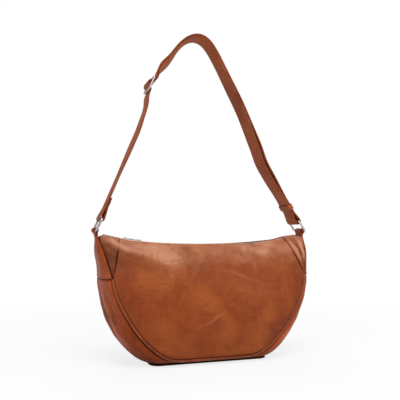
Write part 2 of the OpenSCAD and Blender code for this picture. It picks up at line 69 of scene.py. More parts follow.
class Socket:
    """An output socket that adds Math nodes when it is used in an expression."""

    def __init__(self, graph: "Graph", socket: bpy.types.NodeSocket | None) -> None:
        """Keeps the graph and the socket."""
        self.graph = graph
        self.socket = socket

    def _math(self, operation: str, first: object, second: object = 0.0) -> "Socket":
        """Adds one Math node.

        Args:
            operation: Name of the node's operation.
            first: Its first value or link.
            second: Its second value or link.
        Returns:
            The node's output.
        """
        return self.graph.add("ShaderNodeMath", {"operation": operation}, {0: first, 1: second})

    def __add__(self, other: object) -> "Socket":
        """Sum."""
        return self._math("ADD", self, other)

    def __radd__(self, other: object) -> "Socket":
        """Sum with a number in front."""
        return self._math("ADD", other, self)

    def __sub__(self, other: object) -> "Socket":
        """Difference."""
        return self._math("SUBTRACT", self, other)

    def __rsub__(self, other: object) -> "Socket":
        """Difference from a number."""
        return self._math("SUBTRACT", other, self)

    def __mul__(self, other: object) -> "Socket":
        """Product."""
        return self._math("MULTIPLY", self, other)

    def __rmul__(self, other: object) -> "Socket":
        """Product with a number in front."""
        return self._math("MULTIPLY", other, self)

    def __abs__(self) -> "Socket":
        """Value without its sign."""
        return self._math("ABSOLUTE", self)

    def stretched(self, low: float, high: float) -> "Socket":
        """The value from low to high spread softly over 0 to 1, and held there.

        Args:
            low: Value that becomes 0.
            high: Value that becomes 1.
        Returns:
            The spread value.
        """
        return self.graph.add(
            "ShaderNodeMapRange", {"clamp": True, "interpolation_type": "SMOOTHSTEP"},
            {"Value": self, "From Min": low, "From Max": high})


class Graph:
    """The nodes of one material or world."""

    def __init__(self, owner: bpy.types.Material | bpy.types.World) -> None:
        """Empties the owner's nodes."""
        owner.use_nodes = True
        self.owner = owner
        self.tree = owner.node_tree
        self.tree.nodes.clear()

    @classmethod
    def named(cls, name: str) -> "Graph":
        """The nodes of a new material."""
        return cls(bpy.data.materials.new(name))

    def add(self, kind: str, settings: dict[str, object] | None = None,
            inputs: dict[object, object] | None = None, output: int | str = 0) -> Socket:
        """Adds one node.

        Args:
            kind: The node's type.
            settings: Its settings, set first.
            inputs: Values or links of its sockets, by name or number.
            output: Name or number of the output that is wanted.
        Returns:
            That output.
        """
        node = self.tree.nodes.new(kind)
        for name, value in (settings or {}).items():
            setattr(node, name, value)
        for name, value in (inputs or {}).items():
            socket = node.inputs[name]
            if isinstance(value, Socket):
                self.tree.links.new(value.socket, socket)
            else:
                socket.default_value = (*value, 1.0) if socket.type == "RGBA" else value
        return Socket(self, node.outputs[output] if node.outputs else None)

    def places(self, shift: float = 0.0, stretch: Place = (1, 1, 1)) -> Socket:
        """The object's own coordinates.

        Args:
            shift: Moves the pattern, so that two finishes differ.
            stretch: Scale along each axis.
        Returns:
            The coordinates.
        """
        own = self.add("ShaderNodeTexCoord", output="Object")
        return self.add("ShaderNodeMapping", {},
                        {"Vector": own, "Location": (shift, shift, shift), "Scale": stretch})

    def cloud(self, where: Socket, size_mm: float, detail: float = 3, rough: float = 0.5,
              warp: float = 0.0) -> Socket:
        """Soft noise.

        Args:
            where: Coordinates.
            size_mm: Size of its blotches.
            detail: Finer layers.
            rough: Strength of the finer layers.
            warp: Distortion.
        Returns:
            A value about 0.5.
        """
        return self.add("ShaderNodeTexNoise", {},
                        {"Vector": where, "Scale": 1 / (size_mm * MM), "Detail": detail,
                         "Roughness": rough, "Distortion": warp})

    def painted(self, name: str) -> Socket:
        """A value painted on the mesh."""
        return self.add("ShaderNodeAttribute", {"attribute_name": name}, output="Fac")

    def blended(self, share: object, first: object, second: object) -> Socket:
        """Mixes two colours.

        Args:
            share: Share of the second colour.
            first: First colour.
            second: Second colour.
        Returns:
            The mixed colour.
        """
        return self.add("ShaderNodeMix", {"data_type": "RGBA", "clamp_factor": True},
                        {0: share, 6: first, 7: second}, output=2)

    def bumped(self, height: Socket, depth_mm: float, over: Socket | None = None) -> Socket:
        """Relief from a height.

        Args:
            height: Height from 0 to 1.
            depth_mm: Real depth of the relief.
            over: Relief under it.
        Returns:
            The normal.
        """
        inputs: dict[object, object] = {"Height": height, "Distance": depth_mm * MM,
                                        "Strength": 1.0}
        if over is not None:
            inputs["Normal"] = over
        return self.add("ShaderNodeBump", {}, inputs)

    def surface(self, inputs: dict[object, object]) -> bpy.types.Material:
        """Ends the graph in one Principled shader.

        Args:
            inputs: The shader's values and links.
        Returns:
            The material.
        """
        shader = self.add("ShaderNodeBsdfPrincipled", {}, inputs)
        self.add("ShaderNodeOutputMaterial", {}, {"Surface": shader})
        return self.owner


@dataclass(frozen=True)
class Leather:
    """Waxed cowhide: softly mottled, low gloss, fine grain, worn crests, painted highlights and
    shade.
    """

    name: str
    base: Colour = (0.25, 0.044, 0.0085)
    dark: Colour = (0.168, 0.0265, 0.0055)
    warm: Colour = (0.32, 0.073, 0.014)
    # pale: colour of worn crests and rubbed lines, and of painted highlights and sheen
    pale: Colour = (0.53, 0.235, 0.135)
    # edge: colour of painted shade in seams and hollows, and of the leather's cut edges
    edge: Colour = (0.070, 0.013, 0.004)
    tint: Colour = (1.0, 0.60, 0.38)
    roughness: float = 0.44
    coat: float = 0.05
    coat_roughness: float = 0.3
    gloss: float = 0.33
    mottle: float = 1.0
    shift: float = 0.0
    blotch_mm: float = 74
    glow_mm: float = 46
    patch_mm: float = 17
    streak_mm: float = 6
    streak_share: float = 0.22
    speck_mm: float = 2.6
    cell_mm: float = 1.3
    crease_mm: float = 15
    net_mm: float = 9
    soft_depth_mm: float = 0.22
    crease_depth_mm: float = 0.7
    grain_mm: float = 0.05

    def tone(self, g: Graph, patch: Socket, speck: Socket, lines: Socket) -> Socket:
        """The hide's colour, with the wear, painted highlights and painted shade that are painted
        on the mesh.

        Args:
            g: The material's graph.
            patch: Middle-sized blotches.
            speck: Small blotches.
            lines: Fine creases, paler on their crests.
        Returns:
            The colour.
        """
        blotch = g.cloud(g.places(self.shift), self.blotch_mm, 2, 0.4, 0.3)
        glow = g.cloud(g.places(self.shift / 2), self.glow_mm, 2, 0.45, 0.3)
        along, down = (
            g.cloud(g.places(self.shift + more, stretch), self.streak_mm, 3, 0.6, 0.3)
            for more, stretch in ((0.2, (self.streak_share, 1, 1)),
                                  (0.4, (1, 1, self.streak_share))))
        colour = self.base
        for cloud, low, high, strength, other in (
                (blotch, 0.40, 0.66, 1.0, self.dark), (glow, 0.46, 0.70, 0.9, self.warm),
                (patch, 0.42, 0.76, 0.45, self.warm), (along, 0.42, 0.76, 0.42, self.dark),
                (down, 0.44, 0.78, 0.42, self.warm)):
            colour = g.blended(cloud.stretched(low, high) * (strength * self.mottle), colour,
                               other)
        colour = g.blended(speck.stretched(0.5, 0.75) * 0.25, colour, self.dark)
        # Paler: worn crests and rubbed lines, and painted highlights and sheen; the crumpled patch
        # gets painted glints.
        rubbed_and_sheen = g.painted("pale") * (0.35 + patch * 1.3) + lines * 0.15
        paleness = (rubbed_and_sheen + g.painted("crumple") * (speck - 0.5) * 2.4).stretched(0.0, 1.0)
        colour = g.blended(paleness, colour, self.pale)
        # Darker where painted shade lies on the mesh.
        return g.blended(g.painted("shade").stretched(0.0, 1.0), colour, self.edge)

    def material(self) -> bpy.types.Material:
        """The leather's nodes.

        Returns:
            The material.
        """
        g = Graph.named(self.name)
        where = g.places(self.shift)
        patch = g.cloud(where, self.patch_mm, 4, 0.58, 0.4)
        speck = g.cloud(where, self.speck_mm, 3, 0.6)
        cells = g.add("ShaderNodeTexVoronoi", {"feature": "SMOOTH_F1"},
                      {"Vector": where, "Scale": 1 / (self.cell_mm * MM), "Smoothness": 0.6},
                      output="Distance")
        crumple = g.painted("crumple")
        crease = 1 - abs(g.cloud(where, self.crease_mm, 4, 0.6, 0.5) * 2 - 1)
        net = 1 - abs(g.cloud(where, self.net_mm, 4, 0.65, 0.3) * 2 - 1)
        lines = (crease.stretched(0.78, 1.0) + net.stretched(0.80, 1.0) * 0.6) * (0.04 + crumple)
        relief = g.bumped(g.cloud(where, self.net_mm, 3, 0.55, 0.8), self.soft_depth_mm)
        relief = g.bumped(1 - lines, self.crease_depth_mm, relief)
        relief = g.bumped(cells + speck * 0.8, self.grain_mm, relief)
        rough = (self.roughness + (patch - 0.5) * 0.25 + speck * 0.08
                 + g.painted("shade") * 0.2 - crumple * 0.16)
        return g.surface({"Base Color": self.tone(g, patch, speck, lines), "Roughness": rough,
                          "Normal": relief, "Coat Weight": self.coat,
                          "Coat Roughness": self.coat_roughness,
                          "Specular IOR Level": self.gloss, "Specular Tint": self.tint})


@dataclass(frozen=True)
class Thread:
    """Waxed sewing thread."""

    name: str
    colour: Colour = (0.19, 0.045, 0.014)
    light: Colour = (0.30, 0.090, 0.036)
    twist_mm: float = 0.5
    tone_mm: float = 9
    depth_mm: float = 0.05

    def material(self) -> bpy.types.Material:
        """The thread's nodes.

        Returns:
            The material.
        """
        g = Graph.named(self.name)
        twist = g.cloud(g.places(), self.twist_mm, 2)
        tone = g.cloud(g.places(), self.tone_mm, 2)
        colour = g.blended(tone.stretched(0.35, 0.7), self.colour, self.light)
        return g.surface({"Base Color": colour, "Roughness": 0.62 + twist * 0.1,
                          "Normal": g.bumped(twist, self.depth_mm), "Sheen Weight": 0.2})


@dataclass(frozen=True)
class Metal:
    """Nickel plate with fine rubbing marks."""

    name: str
    colour: Colour = (0.62, 0.60, 0.58)
    dull: Colour = (0.40, 0.385, 0.37)
    roughness: float = 0.26
    haze_mm: float = 5
    mark_mm: float = 0.5
    mark_share: float = 0.12
    depth_mm: float = 0.01

    def material(self) -> bpy.types.Material:
        """The metal's nodes.

        Returns:
            The material.
        """
        g = Graph.named(self.name)
        haze = g.cloud(g.places(), self.haze_mm, 4, 0.6)
        marks = g.cloud(g.places(0.0, (1, self.mark_share, 1)), self.mark_mm, 3, 0.7)
        colour = g.blended(haze.stretched(0.35, 0.75) * 0.6, self.colour, self.dull)
        return g.surface({"Base Color": colour, "Metallic": 1.0,
                          "Roughness": self.roughness + haze * 0.12 + marks * 0.08,
                          "Normal": g.bumped(marks, self.depth_mm)})


@dataclass(frozen=True)
class Cloth:
    """Plain weave: a coarse one for tapes and a finer one for the lining."""

    name: str
    colour: Colour
    light: Colour
    thread_mm: float = 0.5
    tone_mm: float = 12
    depth_mm: float = 0.12
    roughness: float = 0.85

    def material(self) -> bpy.types.Material:
        """The weave's nodes.

        Returns:
            The material.
        """
        g = Graph.named(self.name)
        scale = 1 / (self.thread_mm * MM * 4)
        warp, weft = (g.add("ShaderNodeTexWave", {"bands_direction": way},
                            {"Vector": g.places(), "Scale": scale, "Distortion": 0.4},
                            output="Fac") for way in ("X", "DIAGONAL"))
        weave = warp * weft
        tone = g.cloud(g.places(), self.tone_mm, 3)
        colour = g.blended(weave * 0.6 + tone * 0.4, self.colour, self.light)
        return g.surface({"Base Color": colour, "Roughness": self.roughness - weave * 0.08,
                          "Normal": g.bumped(weave, self.depth_mm), "Sheen Weight": 0.15})


@dataclass(frozen=True)
class Fibre:
    """Pressed fibre board."""

    name: str
    colour: Colour = (0.16, 0.12, 0.08)
    light: Colour = (0.30, 0.24, 0.17)
    fleck_mm: float = 1.2
    tone_mm: float = 20
    depth_mm: float = 0.08

    def material(self) -> bpy.types.Material:
        """The board's nodes.

        Returns:
            The material.
        """
        g = Graph.named(self.name)
        fleck = g.cloud(g.places(), self.fleck_mm, 4, 0.7)
        tone = g.cloud(g.places(), self.tone_mm, 2)
        colour = g.blended(fleck.stretched(0.4, 0.65) * 0.7 + tone * 0.3, self.colour, self.light)
        return g.surface({"Base Color": colour, "Roughness": 0.8 + fleck * 0.1,
                          "Normal": g.bumped(fleck, self.depth_mm)})


class Finish(Enum):
    """The finishes of the bag, and the names of the slots that they stand for."""

    BODY = ("body_leather", Leather("side_hide"))
    GUSSET = ("gusset_leather", Leather(
        "gusset_hide", base=(0.32, 0.056, 0.013), dark=(0.19, 0.030, 0.008),
        warm=(0.44, 0.085, 0.018), pale=(0.52, 0.15, 0.06), coat=0.0, gloss=0.2, shift=0.31))
    WELT = ("welt_leather", Leather(
        "welt_hide", base=(0.30, 0.064, 0.018), dark=(0.15, 0.028, 0.009),
        roughness=0.38, coat=0.25, shift=0.53))
    BASE = ("base_leather", Leather(
        "base_hide", base=(0.060, 0.016, 0.007), dark=(0.022, 0.007, 0.004),
        warm=(0.10, 0.028, 0.010), pale=(0.20, 0.08, 0.04), shift=0.77))
    STRAP = ("strap_leather", Leather(
        "strap_hide", base=(0.33, 0.076, 0.025), dark=(0.22, 0.044, 0.014),
        warm=(0.40, 0.098, 0.026), pale=(0.50, 0.20, 0.105), roughness=0.58, coat=0.0, mottle=0.8,
        grain_mm=0.02, gloss=0.3, shift=0.95))
    THREAD = ("body_leather", Thread("sewing_thread"))
    LINING = ("lining_cloth", Cloth("lining_weave", (0.20, 0.14, 0.09), (0.34, 0.26, 0.18), 0.35))
    BOARD = ("board", Fibre("fibre_board"))
    TAPE = ("zip_tape", Cloth("tape_weave", (0.035, 0.016, 0.010), (0.10, 0.05, 0.03), 0.5))
    TEETH = ("zip_metal", Metal("tooth_metal", (0.50, 0.46, 0.40), (0.30, 0.27, 0.23), 0.3))
    HARDWARE = ("hardware", Metal("nickel_plate"))

    @property
    def slot(self) -> str:
        """The slot's name."""
        return self.value[0]

    def material(self) -> bpy.types.Material:
        """The finish's material, made once."""
        finish = self.value[1]
        return bpy.data.materials.get(finish.name) or finish.material()


# Numbers on arrays

def mix(a: Field | float, b: Field | float, k: Field | float) -> Field | float:
    """Goes from a to b as k goes from 0 to 1."""
    return a + (b - a) * k


def held(k: Field | float) -> Field:
    """Holds a value between 0 and 1."""
    return np.clip(k, 0.0, 1.0)


def smooth(k: Field | float) -> Field:
    """Eases a value between 0 and 1 at both ends."""
    k = held(k)
    return k * k * (3 - 2 * k)


def crowded(steps: int, share: float) -> Field:
    """Steps from 0 to 1, a share of them drawn toward both ends."""
    k = np.linspace(0, 1, steps + 1)
    return mix(k, (1 - np.cos(np.pi * k)) / 2, share)


def unit(v: Field) -> Field:
    """Vectors of length 1."""
    return v / np.maximum(np.linalg.norm(v, axis=-1, keepdims=True), 1e-9)


def turns(sides: int) -> Field:
    """Even angles round a circle, in radians."""
    return 2 * np.pi * np.arange(sides) / sides


def run_along(line: Field) -> Field:
    """Distances along a line from its first point."""
    return np.concatenate([[0], np.cumsum(np.linalg.norm(np.diff(line, axis=0), axis=1))])


def read_along(at: Field, run: Field, values: Field) -> Field:
    """Reads rows of values, known at the distances in run, at other distances."""
    return np.stack([np.interp(at, run, values[:, a]) for a in range(values.shape[1])], -1)


def rumple(points: Field, size_mm: float, seed: float) -> Field:
    """Smooth noise in space.

    Args:
        points: Places in millimetres.
        size_mm: Size of its waves.
        seed: Shift, so that two pieces differ.
    Returns:
        Values about 0, mostly within 1.
    """
    flat = points.reshape(-1, 3) / size_mm + seed
    values = [noise.fractal(Vector(p), 1.0, 2.0, 2) for p in flat]
    return np.array(values).reshape(points.shape[:-1])


@dataclass(frozen=True)
class Waves:
    """Soft unevenness."""

    size_mm: float
    height: float
    shift: float = 0.0

    def lift(self, points: Field, seed: float) -> Field:
        """Its heights at places, for a piece's seed."""
        return self.height * rumple(points, self.size_mm, seed + self.shift)


@dataclass(frozen=True)
class Ramp:
    """A soft rise from 0 to 1 over a length."""

    start: float
    length: float

    def at(self, value: Field) -> Field:
        """Its height at values."""
        return smooth((value - self.start) / self.length)


@dataclass(frozen=True)
class Rib:
    """A ridge, groove or painted line that keeps its distance from an edge."""

    place: float
    width: float
    height: float

    def lift(self, distance: Field) -> Field:
        """Its height at distances from the edge."""
        return self.height * np.exp(-((distance - self.place) / self.width) ** 2)


@dataclass(frozen=True)
class Step:
    """A raised or sunk margin that fades out with the distance from an edge."""

    start: float
    length: float
    height: float

    def lift(self, distance: Field) -> Field:
        """Its height at distances from the edge."""
        return self.height * (1 - smooth((distance - self.start) / self.length))


@dataclass(frozen=True)
class Fold:
    """A soft ridge or hollow along a line in two of a skin's coordinates."""

    line: tuple[tuple[float, float], ...]
    width: float
    height: float

    def lift(self, a: Field, b: Field) -> Field:
        """Its height at places.

        Args:
            a: First coordinates.
            b: Second coordinates.
        Returns:
            The heights in millimetres.
        """
        nearest = np.full(a.shape, np.inf)
        place = np.zeros(a.shape)
        spans = len(self.line) - 1
        for i, ((x0, z0), (x1, z1)) in enumerate(zip(self.line, self.line[1:])):
            length2 = (x1 - x0) ** 2 + (z1 - z0) ** 2
            k = held(((a - x0) * (x1 - x0) + (b - z0) * (z1 - z0)) / length2)
            far = np.hypot(a - mix(x0, x1, k), b - mix(z0, z1, k))
            place = np.where(far < nearest, (i + k) / spans, place)
            nearest = np.minimum(nearest, far)
        fade = mix(0.35, 1.0, np.sin(np.pi * held(place)))
        return self.height * fade * np.exp(-(nearest / self.width) ** 2)


def lifted(folds: Sequence[Fold], a: Field, b: Field) -> Field:
    """The height of several folds at places."""
    return sum((fold.lift(a, b) for fold in folds), np.zeros(a.shape))


# Meshes

@dataclass
class Mesh:
    """Points in millimetres, faces, and values painted on the points."""

    points: Field
    faces: list[tuple[int, ...]]
    paint: dict[str, Field] = field(default_factory=dict)

    def mirrored(self, axis: int) -> "Mesh":
        """The mesh with the sign of one axis changed."""
        return Mesh(self.points * np.where(np.arange(3) == axis, -1, 1),
                    [face[::-1] for face in self.faces], self.paint)

    @staticmethod
    def joined(meshes: Sequence["Mesh"]) -> "Mesh":
        """One mesh of several, without welding.

        Args:
            meshes: The meshes.
        Returns:
            Their union.
        """
        faces: list[tuple[int, ...]] = []
        start = 0
        for m in meshes:
            faces += [tuple(i + start for i in f) for f in m.faces]
            start += len(m.points)
        names = {n for m in meshes for n in m.paint}
        paint = {n: np.concatenate([m.paint.get(n, np.zeros(len(m.points))) for m in meshes])
                 for n in names}
        return Mesh(np.concatenate([m.points for m in meshes]), faces, paint)

    def piece(self, name: str, finish: Finish, smooth_shaded: bool = True) -> bpy.types.Object:
        """Makes the Blender object, in metres.

        Args:
            name: The piece's name.
            finish: Its finish.
            smooth_shaded: Whether its faces are shaded smooth.
        Returns:
            The object.
        """
        data = bpy.data.meshes.new(name)
        data.from_pydata((self.points * MM).tolist(), [], self.faces)
        turned = bmesh.new()
        turned.from_mesh(data)
        bmesh.ops.recalc_face_normals(turned, faces=turned.faces[:])
        turned.to_mesh(data)
        turned.free()
        data.polygons.foreach_set("use_smooth", [smooth_shaded] * len(data.polygons))
        for key, values in self.paint.items():
            data.attributes.new(key, "FLOAT", "POINT").data.foreach_set(
                "value", values.astype(np.float32))
        made = bpy.data.objects.new(name, data)
        bpy.context.scene.collection.objects.link(made)
        data.materials.append(finish.material())
        finish.slot
        log.info("%s: %d points", name, len(self.points))
        return made

    def place(self, name: str, finish: Finish, body: str, *nodes: str, back: bool = False,
              smooth_shaded: bool = True) -> None:
        """Makes the piece and rides it on a body.

        Args:
            name: The piece's name.
            finish: Its finish.
            body: The body that it rides on.
            nodes: The nodes that it stands for.
            back: Whether it is the mirror image at the back.
            smooth_shaded: Whether its faces are shaded smooth.
        """
        made = (self.mirrored(1) if back else self).piece(name, finish, smooth_shaded)
        if nodes:
            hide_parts(*nodes)
        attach(made, body)


def grid_faces(rows: int, columns: int, start: int = 0, closed: bool = False,
               looped: bool = False, flipped: bool = False) -> list[tuple[int, ...]]:
    """Quads over rows of points.

    Args:
        rows: Number of rows.
        columns: Points in a row.
        start: Number of the first point.
        closed: Whether each row closes on itself.
        looped: Whether the last row meets the first.
        flipped: Whether the faces turn the other way.
    Returns:
        The faces.
    """
    i, j = np.indices((rows if looped else rows - 1, columns if closed else columns - 1))
    row, next_row, after = start + i * columns, start + (i + 1) % rows * columns, (j + 1) % columns
    quads = np.stack([row + j, next_row + j, next_row + after, row + after], -1).reshape(-1, 4)
    return [tuple(q) for q in (quads[:, ::-1] if flipped else quads).tolist()]


def tube(rings: Field, closed_path: bool = False) -> Mesh:
    """A closed skin through rings of points.

    Args:
        rings: Points, as (rings, points in a ring, 3).
        closed_path: Whether the last ring meets the first; otherwise both ends get a cap.
    Returns:
        The mesh.
    """
    n, m = rings.shape[:2]
    faces = grid_faces(n, m, closed=True, looped=closed_path, flipped=True)
    if not closed_path:
        faces += [tuple(range(m)), tuple(range((n - 1) * m, n * m))[::-1]]
    return Mesh(rings.reshape(-1, 3), faces)


def rings_about(line: Field, radius: Field, u: Field, v: Field, sides: int) -> Field:
    """Round rings about a line.

    Args:
        line: Their middles.
        radius: Their radii.
        u: Directions to their first points.
        v: Directions a quarter further round.
        sides: Points in a ring.
    Returns:
        Points, as (rings, points in a ring, 3).
    """
    q = turns(sides)[None, :, None]
    return line[:, None] + radius[:, None, None] * (np.cos(q) * u[:, None]
                                                    + np.sin(q) * v[:, None])


@dataclass(frozen=True)
class Box:
    """A box with rounded edges."""

    size: Sequence[float]
    bevel: float
    centre: Sequence[float] = (0, 0, 0)
    steps: int = 2

    def mesh(self, y_sign: float = 1, z_sign: float = 1) -> Mesh:
        """Its mesh.

        Args:
            y_sign: -1 where its middle is on the other side in Y.
            z_sign: -1 where its middle is on the other side in Z.
        Returns:
            The mesh.
        """
        made = bmesh.new()
        bmesh.ops.create_cube(made, size=1.0)
        for v in made.verts:
            v.co = Vector([v.co[i] * self.size[i] for i in range(3)])
        bmesh.ops.bevel(made, geom=made.edges[:], offset=self.bevel, segments=self.steps,
                        affect="EDGES", profile=0.5)
        x, y, z = self.centre
        middle = Vector((x, y * y_sign, z * z_sign))
        points = np.array([v.co + middle for v in made.verts])
        faces = [tuple(v.index for v in f.verts) for f in made.faces]
        made.free()
        return Mesh(points, faces)


def rounded_loop(a: float, b: float, r: float, steps: int) -> Field:
    """Loop of a rounded rectangle.

    Args:
        a: Half of its first side, less the corner.
        b: Half of its second side, less the corner.
        r: Radius of its corners.
        steps: Steps of each corner.
    Returns:
        Its points.
    """
    corners = []
    for quarter, (x, y) in enumerate(((a, b), (-a, b), (-a, -b), (a, -b))):
        q = np.radians(np.linspace(90 * quarter, 90 * (quarter + 1), steps + 1))
        corners.append(np.column_stack([x + r * np.cos(q), y + r * np.sin(q)]))
    return np.concatenate(corners)


def stitches(points: Field, normals: Field, pitch: float = 4.2, length: float = 2.9,
             radius: float = 0.36) -> Mesh:
    """A row of stitches along a line.

    Args:
        points: The line.
        normals: Directions out of the leather.
        pitch: Distance from stitch to stitch.
        length: Length of a stitch.
        radius: Its radius.
    Returns:
        The stitches' mesh.
    """
    run = run_along(points)
    length_shares = np.array([-0.5, -0.36, 0.0, 0.36, 0.5])
    girth_shares = np.array([0.35, 0.9, 1.0, 0.9, 0.35])
    sink_shares = np.array([-1.1, -0.2, 0.15, -0.2, -1.1])
    made = []
    for s in np.arange(pitch / 2, run[-1] - pitch / 2, pitch):
        at = s + length_shares * length
        p, n = read_along(at, run, points), unit(read_along(at, run, normals))
        across = unit(np.cross(unit(np.gradient(p, axis=0)), n))
        p = p + n * (sink_shares * radius)[:, None]
        made.append(tube(rings_about(p, radius * girth_shares, across, n, 6)))
    return Mesh.joined(made)


class Side(Enum):
    """The four edges of a skin's grid."""

    LOW_T = 0
    HIGH_T = 1
    LOW_W = 2
    HIGH_W = 3


class Skin:
    """A grid of points on a leather piece's outer face, with its distances to its edges."""

    def __init__(self, surface: Callable[[Field, Field], Field], t: Field, w: Field,
                 outward: float = 1.0) -> None:
        """Lays the grid.

        Args:
            surface: Gives points for parameters t and w.
            t: Parameters of its rows, along the piece.
            w: Parameters of its columns, across the piece, for all rows or for each.
            outward: 1 where t crossed with w points out, and -1 where it points in.
        """
        self.outward = outward
        self.t = np.repeat(t[:, None], w.shape[-1], axis=1)
        self.w = np.broadcast_to(w, self.t.shape)
        self.points = surface(self.t, self.w)
        self.measure()

    def measure(self) -> None:
        """Works out normals and distances to the edges from the points."""
        along, across = (np.gradient(self.points, axis=a) for a in (0, 1))
        self.normals = unit(np.cross(along, across)) * self.outward
        self.far = {}
        for axis, low, high in ((0, Side.LOW_T, Side.HIGH_T), (1, Side.LOW_W, Side.HIGH_W)):
            steps = np.linalg.norm(np.diff(self.points, axis=axis), axis=-1)
            start = np.zeros_like(steps.take([0], axis))
            far = np.concatenate([start, np.cumsum(steps, axis)], axis)
            self.far[low] = far
            self.far[high] = far.take([-1], axis) - far

    def past(self, side: Side, t: float) -> Field:
        """Distances from the line at a parameter, below 0 between it and one edge.

        Args:
            side: The edge, at either end of t.
            t: The parameter.
        Returns:
            The distances.
        """
        far = self.far[side]
        return far - np.array([np.interp(t, self.t[:, j], far[:, j])
                               for j in range(far.shape[1])])

    def from_seams(self, share: float, whole: bool) -> Field:
        """Distances from the seams where a side or a gusset is pieced.

        Args:
            share: Share of the half outline where they are.
            whole: Whether the piece reaches from one seam past the other.
        Returns:
            The distances, below 0 beyond the seams.
        """
        if whole:
            return np.minimum(self.past(Side.LOW_T, -share), self.past(Side.HIGH_T, share))
        return self.far[Side.LOW_T if self.t[0, 0] > 0 else Side.HIGH_T]

    def push(self, amount: Field | float, drop: Field | float = 0.0) -> None:
        """Moves the points.

        Args:
            amount: How far out each of them goes.
            drop: How far down.
        """
        self.points = self.points + self.normals * np.asarray(amount)[..., None]
        self.points[..., 2] -= drop
        self.measure()

    def line(self, side: Side, distance: float, trim: float) -> tuple[Field, Field]:
        """A line on the skin that keeps its distance from an edge.

        Args:
            side: The edge.
            distance: The distance.
            trim: Length left out at each end of the line.
        Returns:
            Its points and normals.
        """
        grids = [self.far[side], self.points, self.normals]
        if side in (Side.LOW_T, Side.HIGH_T):
            grids = [grid.swapaxes(0, 1) for grid in grids]
        points, ups = [], []
        for row, p, n in zip(*grids):
            if row[0] > row[-1]:
                row, p, n = row[::-1], p[::-1], n[::-1]
            points.append(read_along(distance, row, p))
            ups.append(read_along(distance, row, n))
        points, normals = np.array(points), unit(np.array(ups))
        run = run_along(points)
        keep = (run >= trim) & (run <= run[-1] - trim)
        return points[keep], normals[keep]

    def shell(self, thickness: float, paint: dict[str, Field] | None = None,
              edge_shade: float = 0.4) -> Mesh:
        """The leather under the face, with rounded edges.

        Args:
            thickness: The leather's thickness.
            paint: Values painted on the face.
            edge_shade: Shade painted on what isn't the face.
        Returns:
            The closed mesh.
        """
        rows, columns = self.points.shape[:2]
        flat = self.points.reshape(-1, 3)
        low = (self.points - self.normals * thickness).reshape(-1, 3)
        index = np.arange(rows * columns).reshape(rows, columns)
        rim = np.concatenate([index[:, 0], index[-1, 1:], index[-2::-1, -1], index[0, -2:0:-1]])
        inward = np.concatenate([index[:, 1], index[-2, 1:], index[-2::-1, -2],
                                 index[1, -2:0:-1]])
        out = unit(flat[rim] - flat[inward])
        middle = (flat[rim] + low[rim]) / 2 + out * thickness * 0.4
        inside = self.outward < 0
        faces = grid_faces(rows, columns, flipped=inside)
        faces += grid_faces(rows, columns, start=len(flat), flipped=not inside)
        ridge = 2 * len(flat) + np.arange(len(rim))
        for a, b in ((rim, ridge), (ridge, rim + len(flat))):
            strip = np.stack([a, b, np.roll(b, -1), np.roll(a, -1)], -1)
            faces += [tuple(q) for q in (strip[:, ::-1] if inside else strip).tolist()]
        mesh = Mesh(np.concatenate([flat, low, middle]), faces)
        for name, values in (paint or {}).items():
            rest = np.full(len(low) + len(rim), edge_shade if name == "shade" else 0.0)
            mesh.paint[name] = np.concatenate([held(values).ravel(), rest])
        return mesh


# The body's form, as its sizes give it

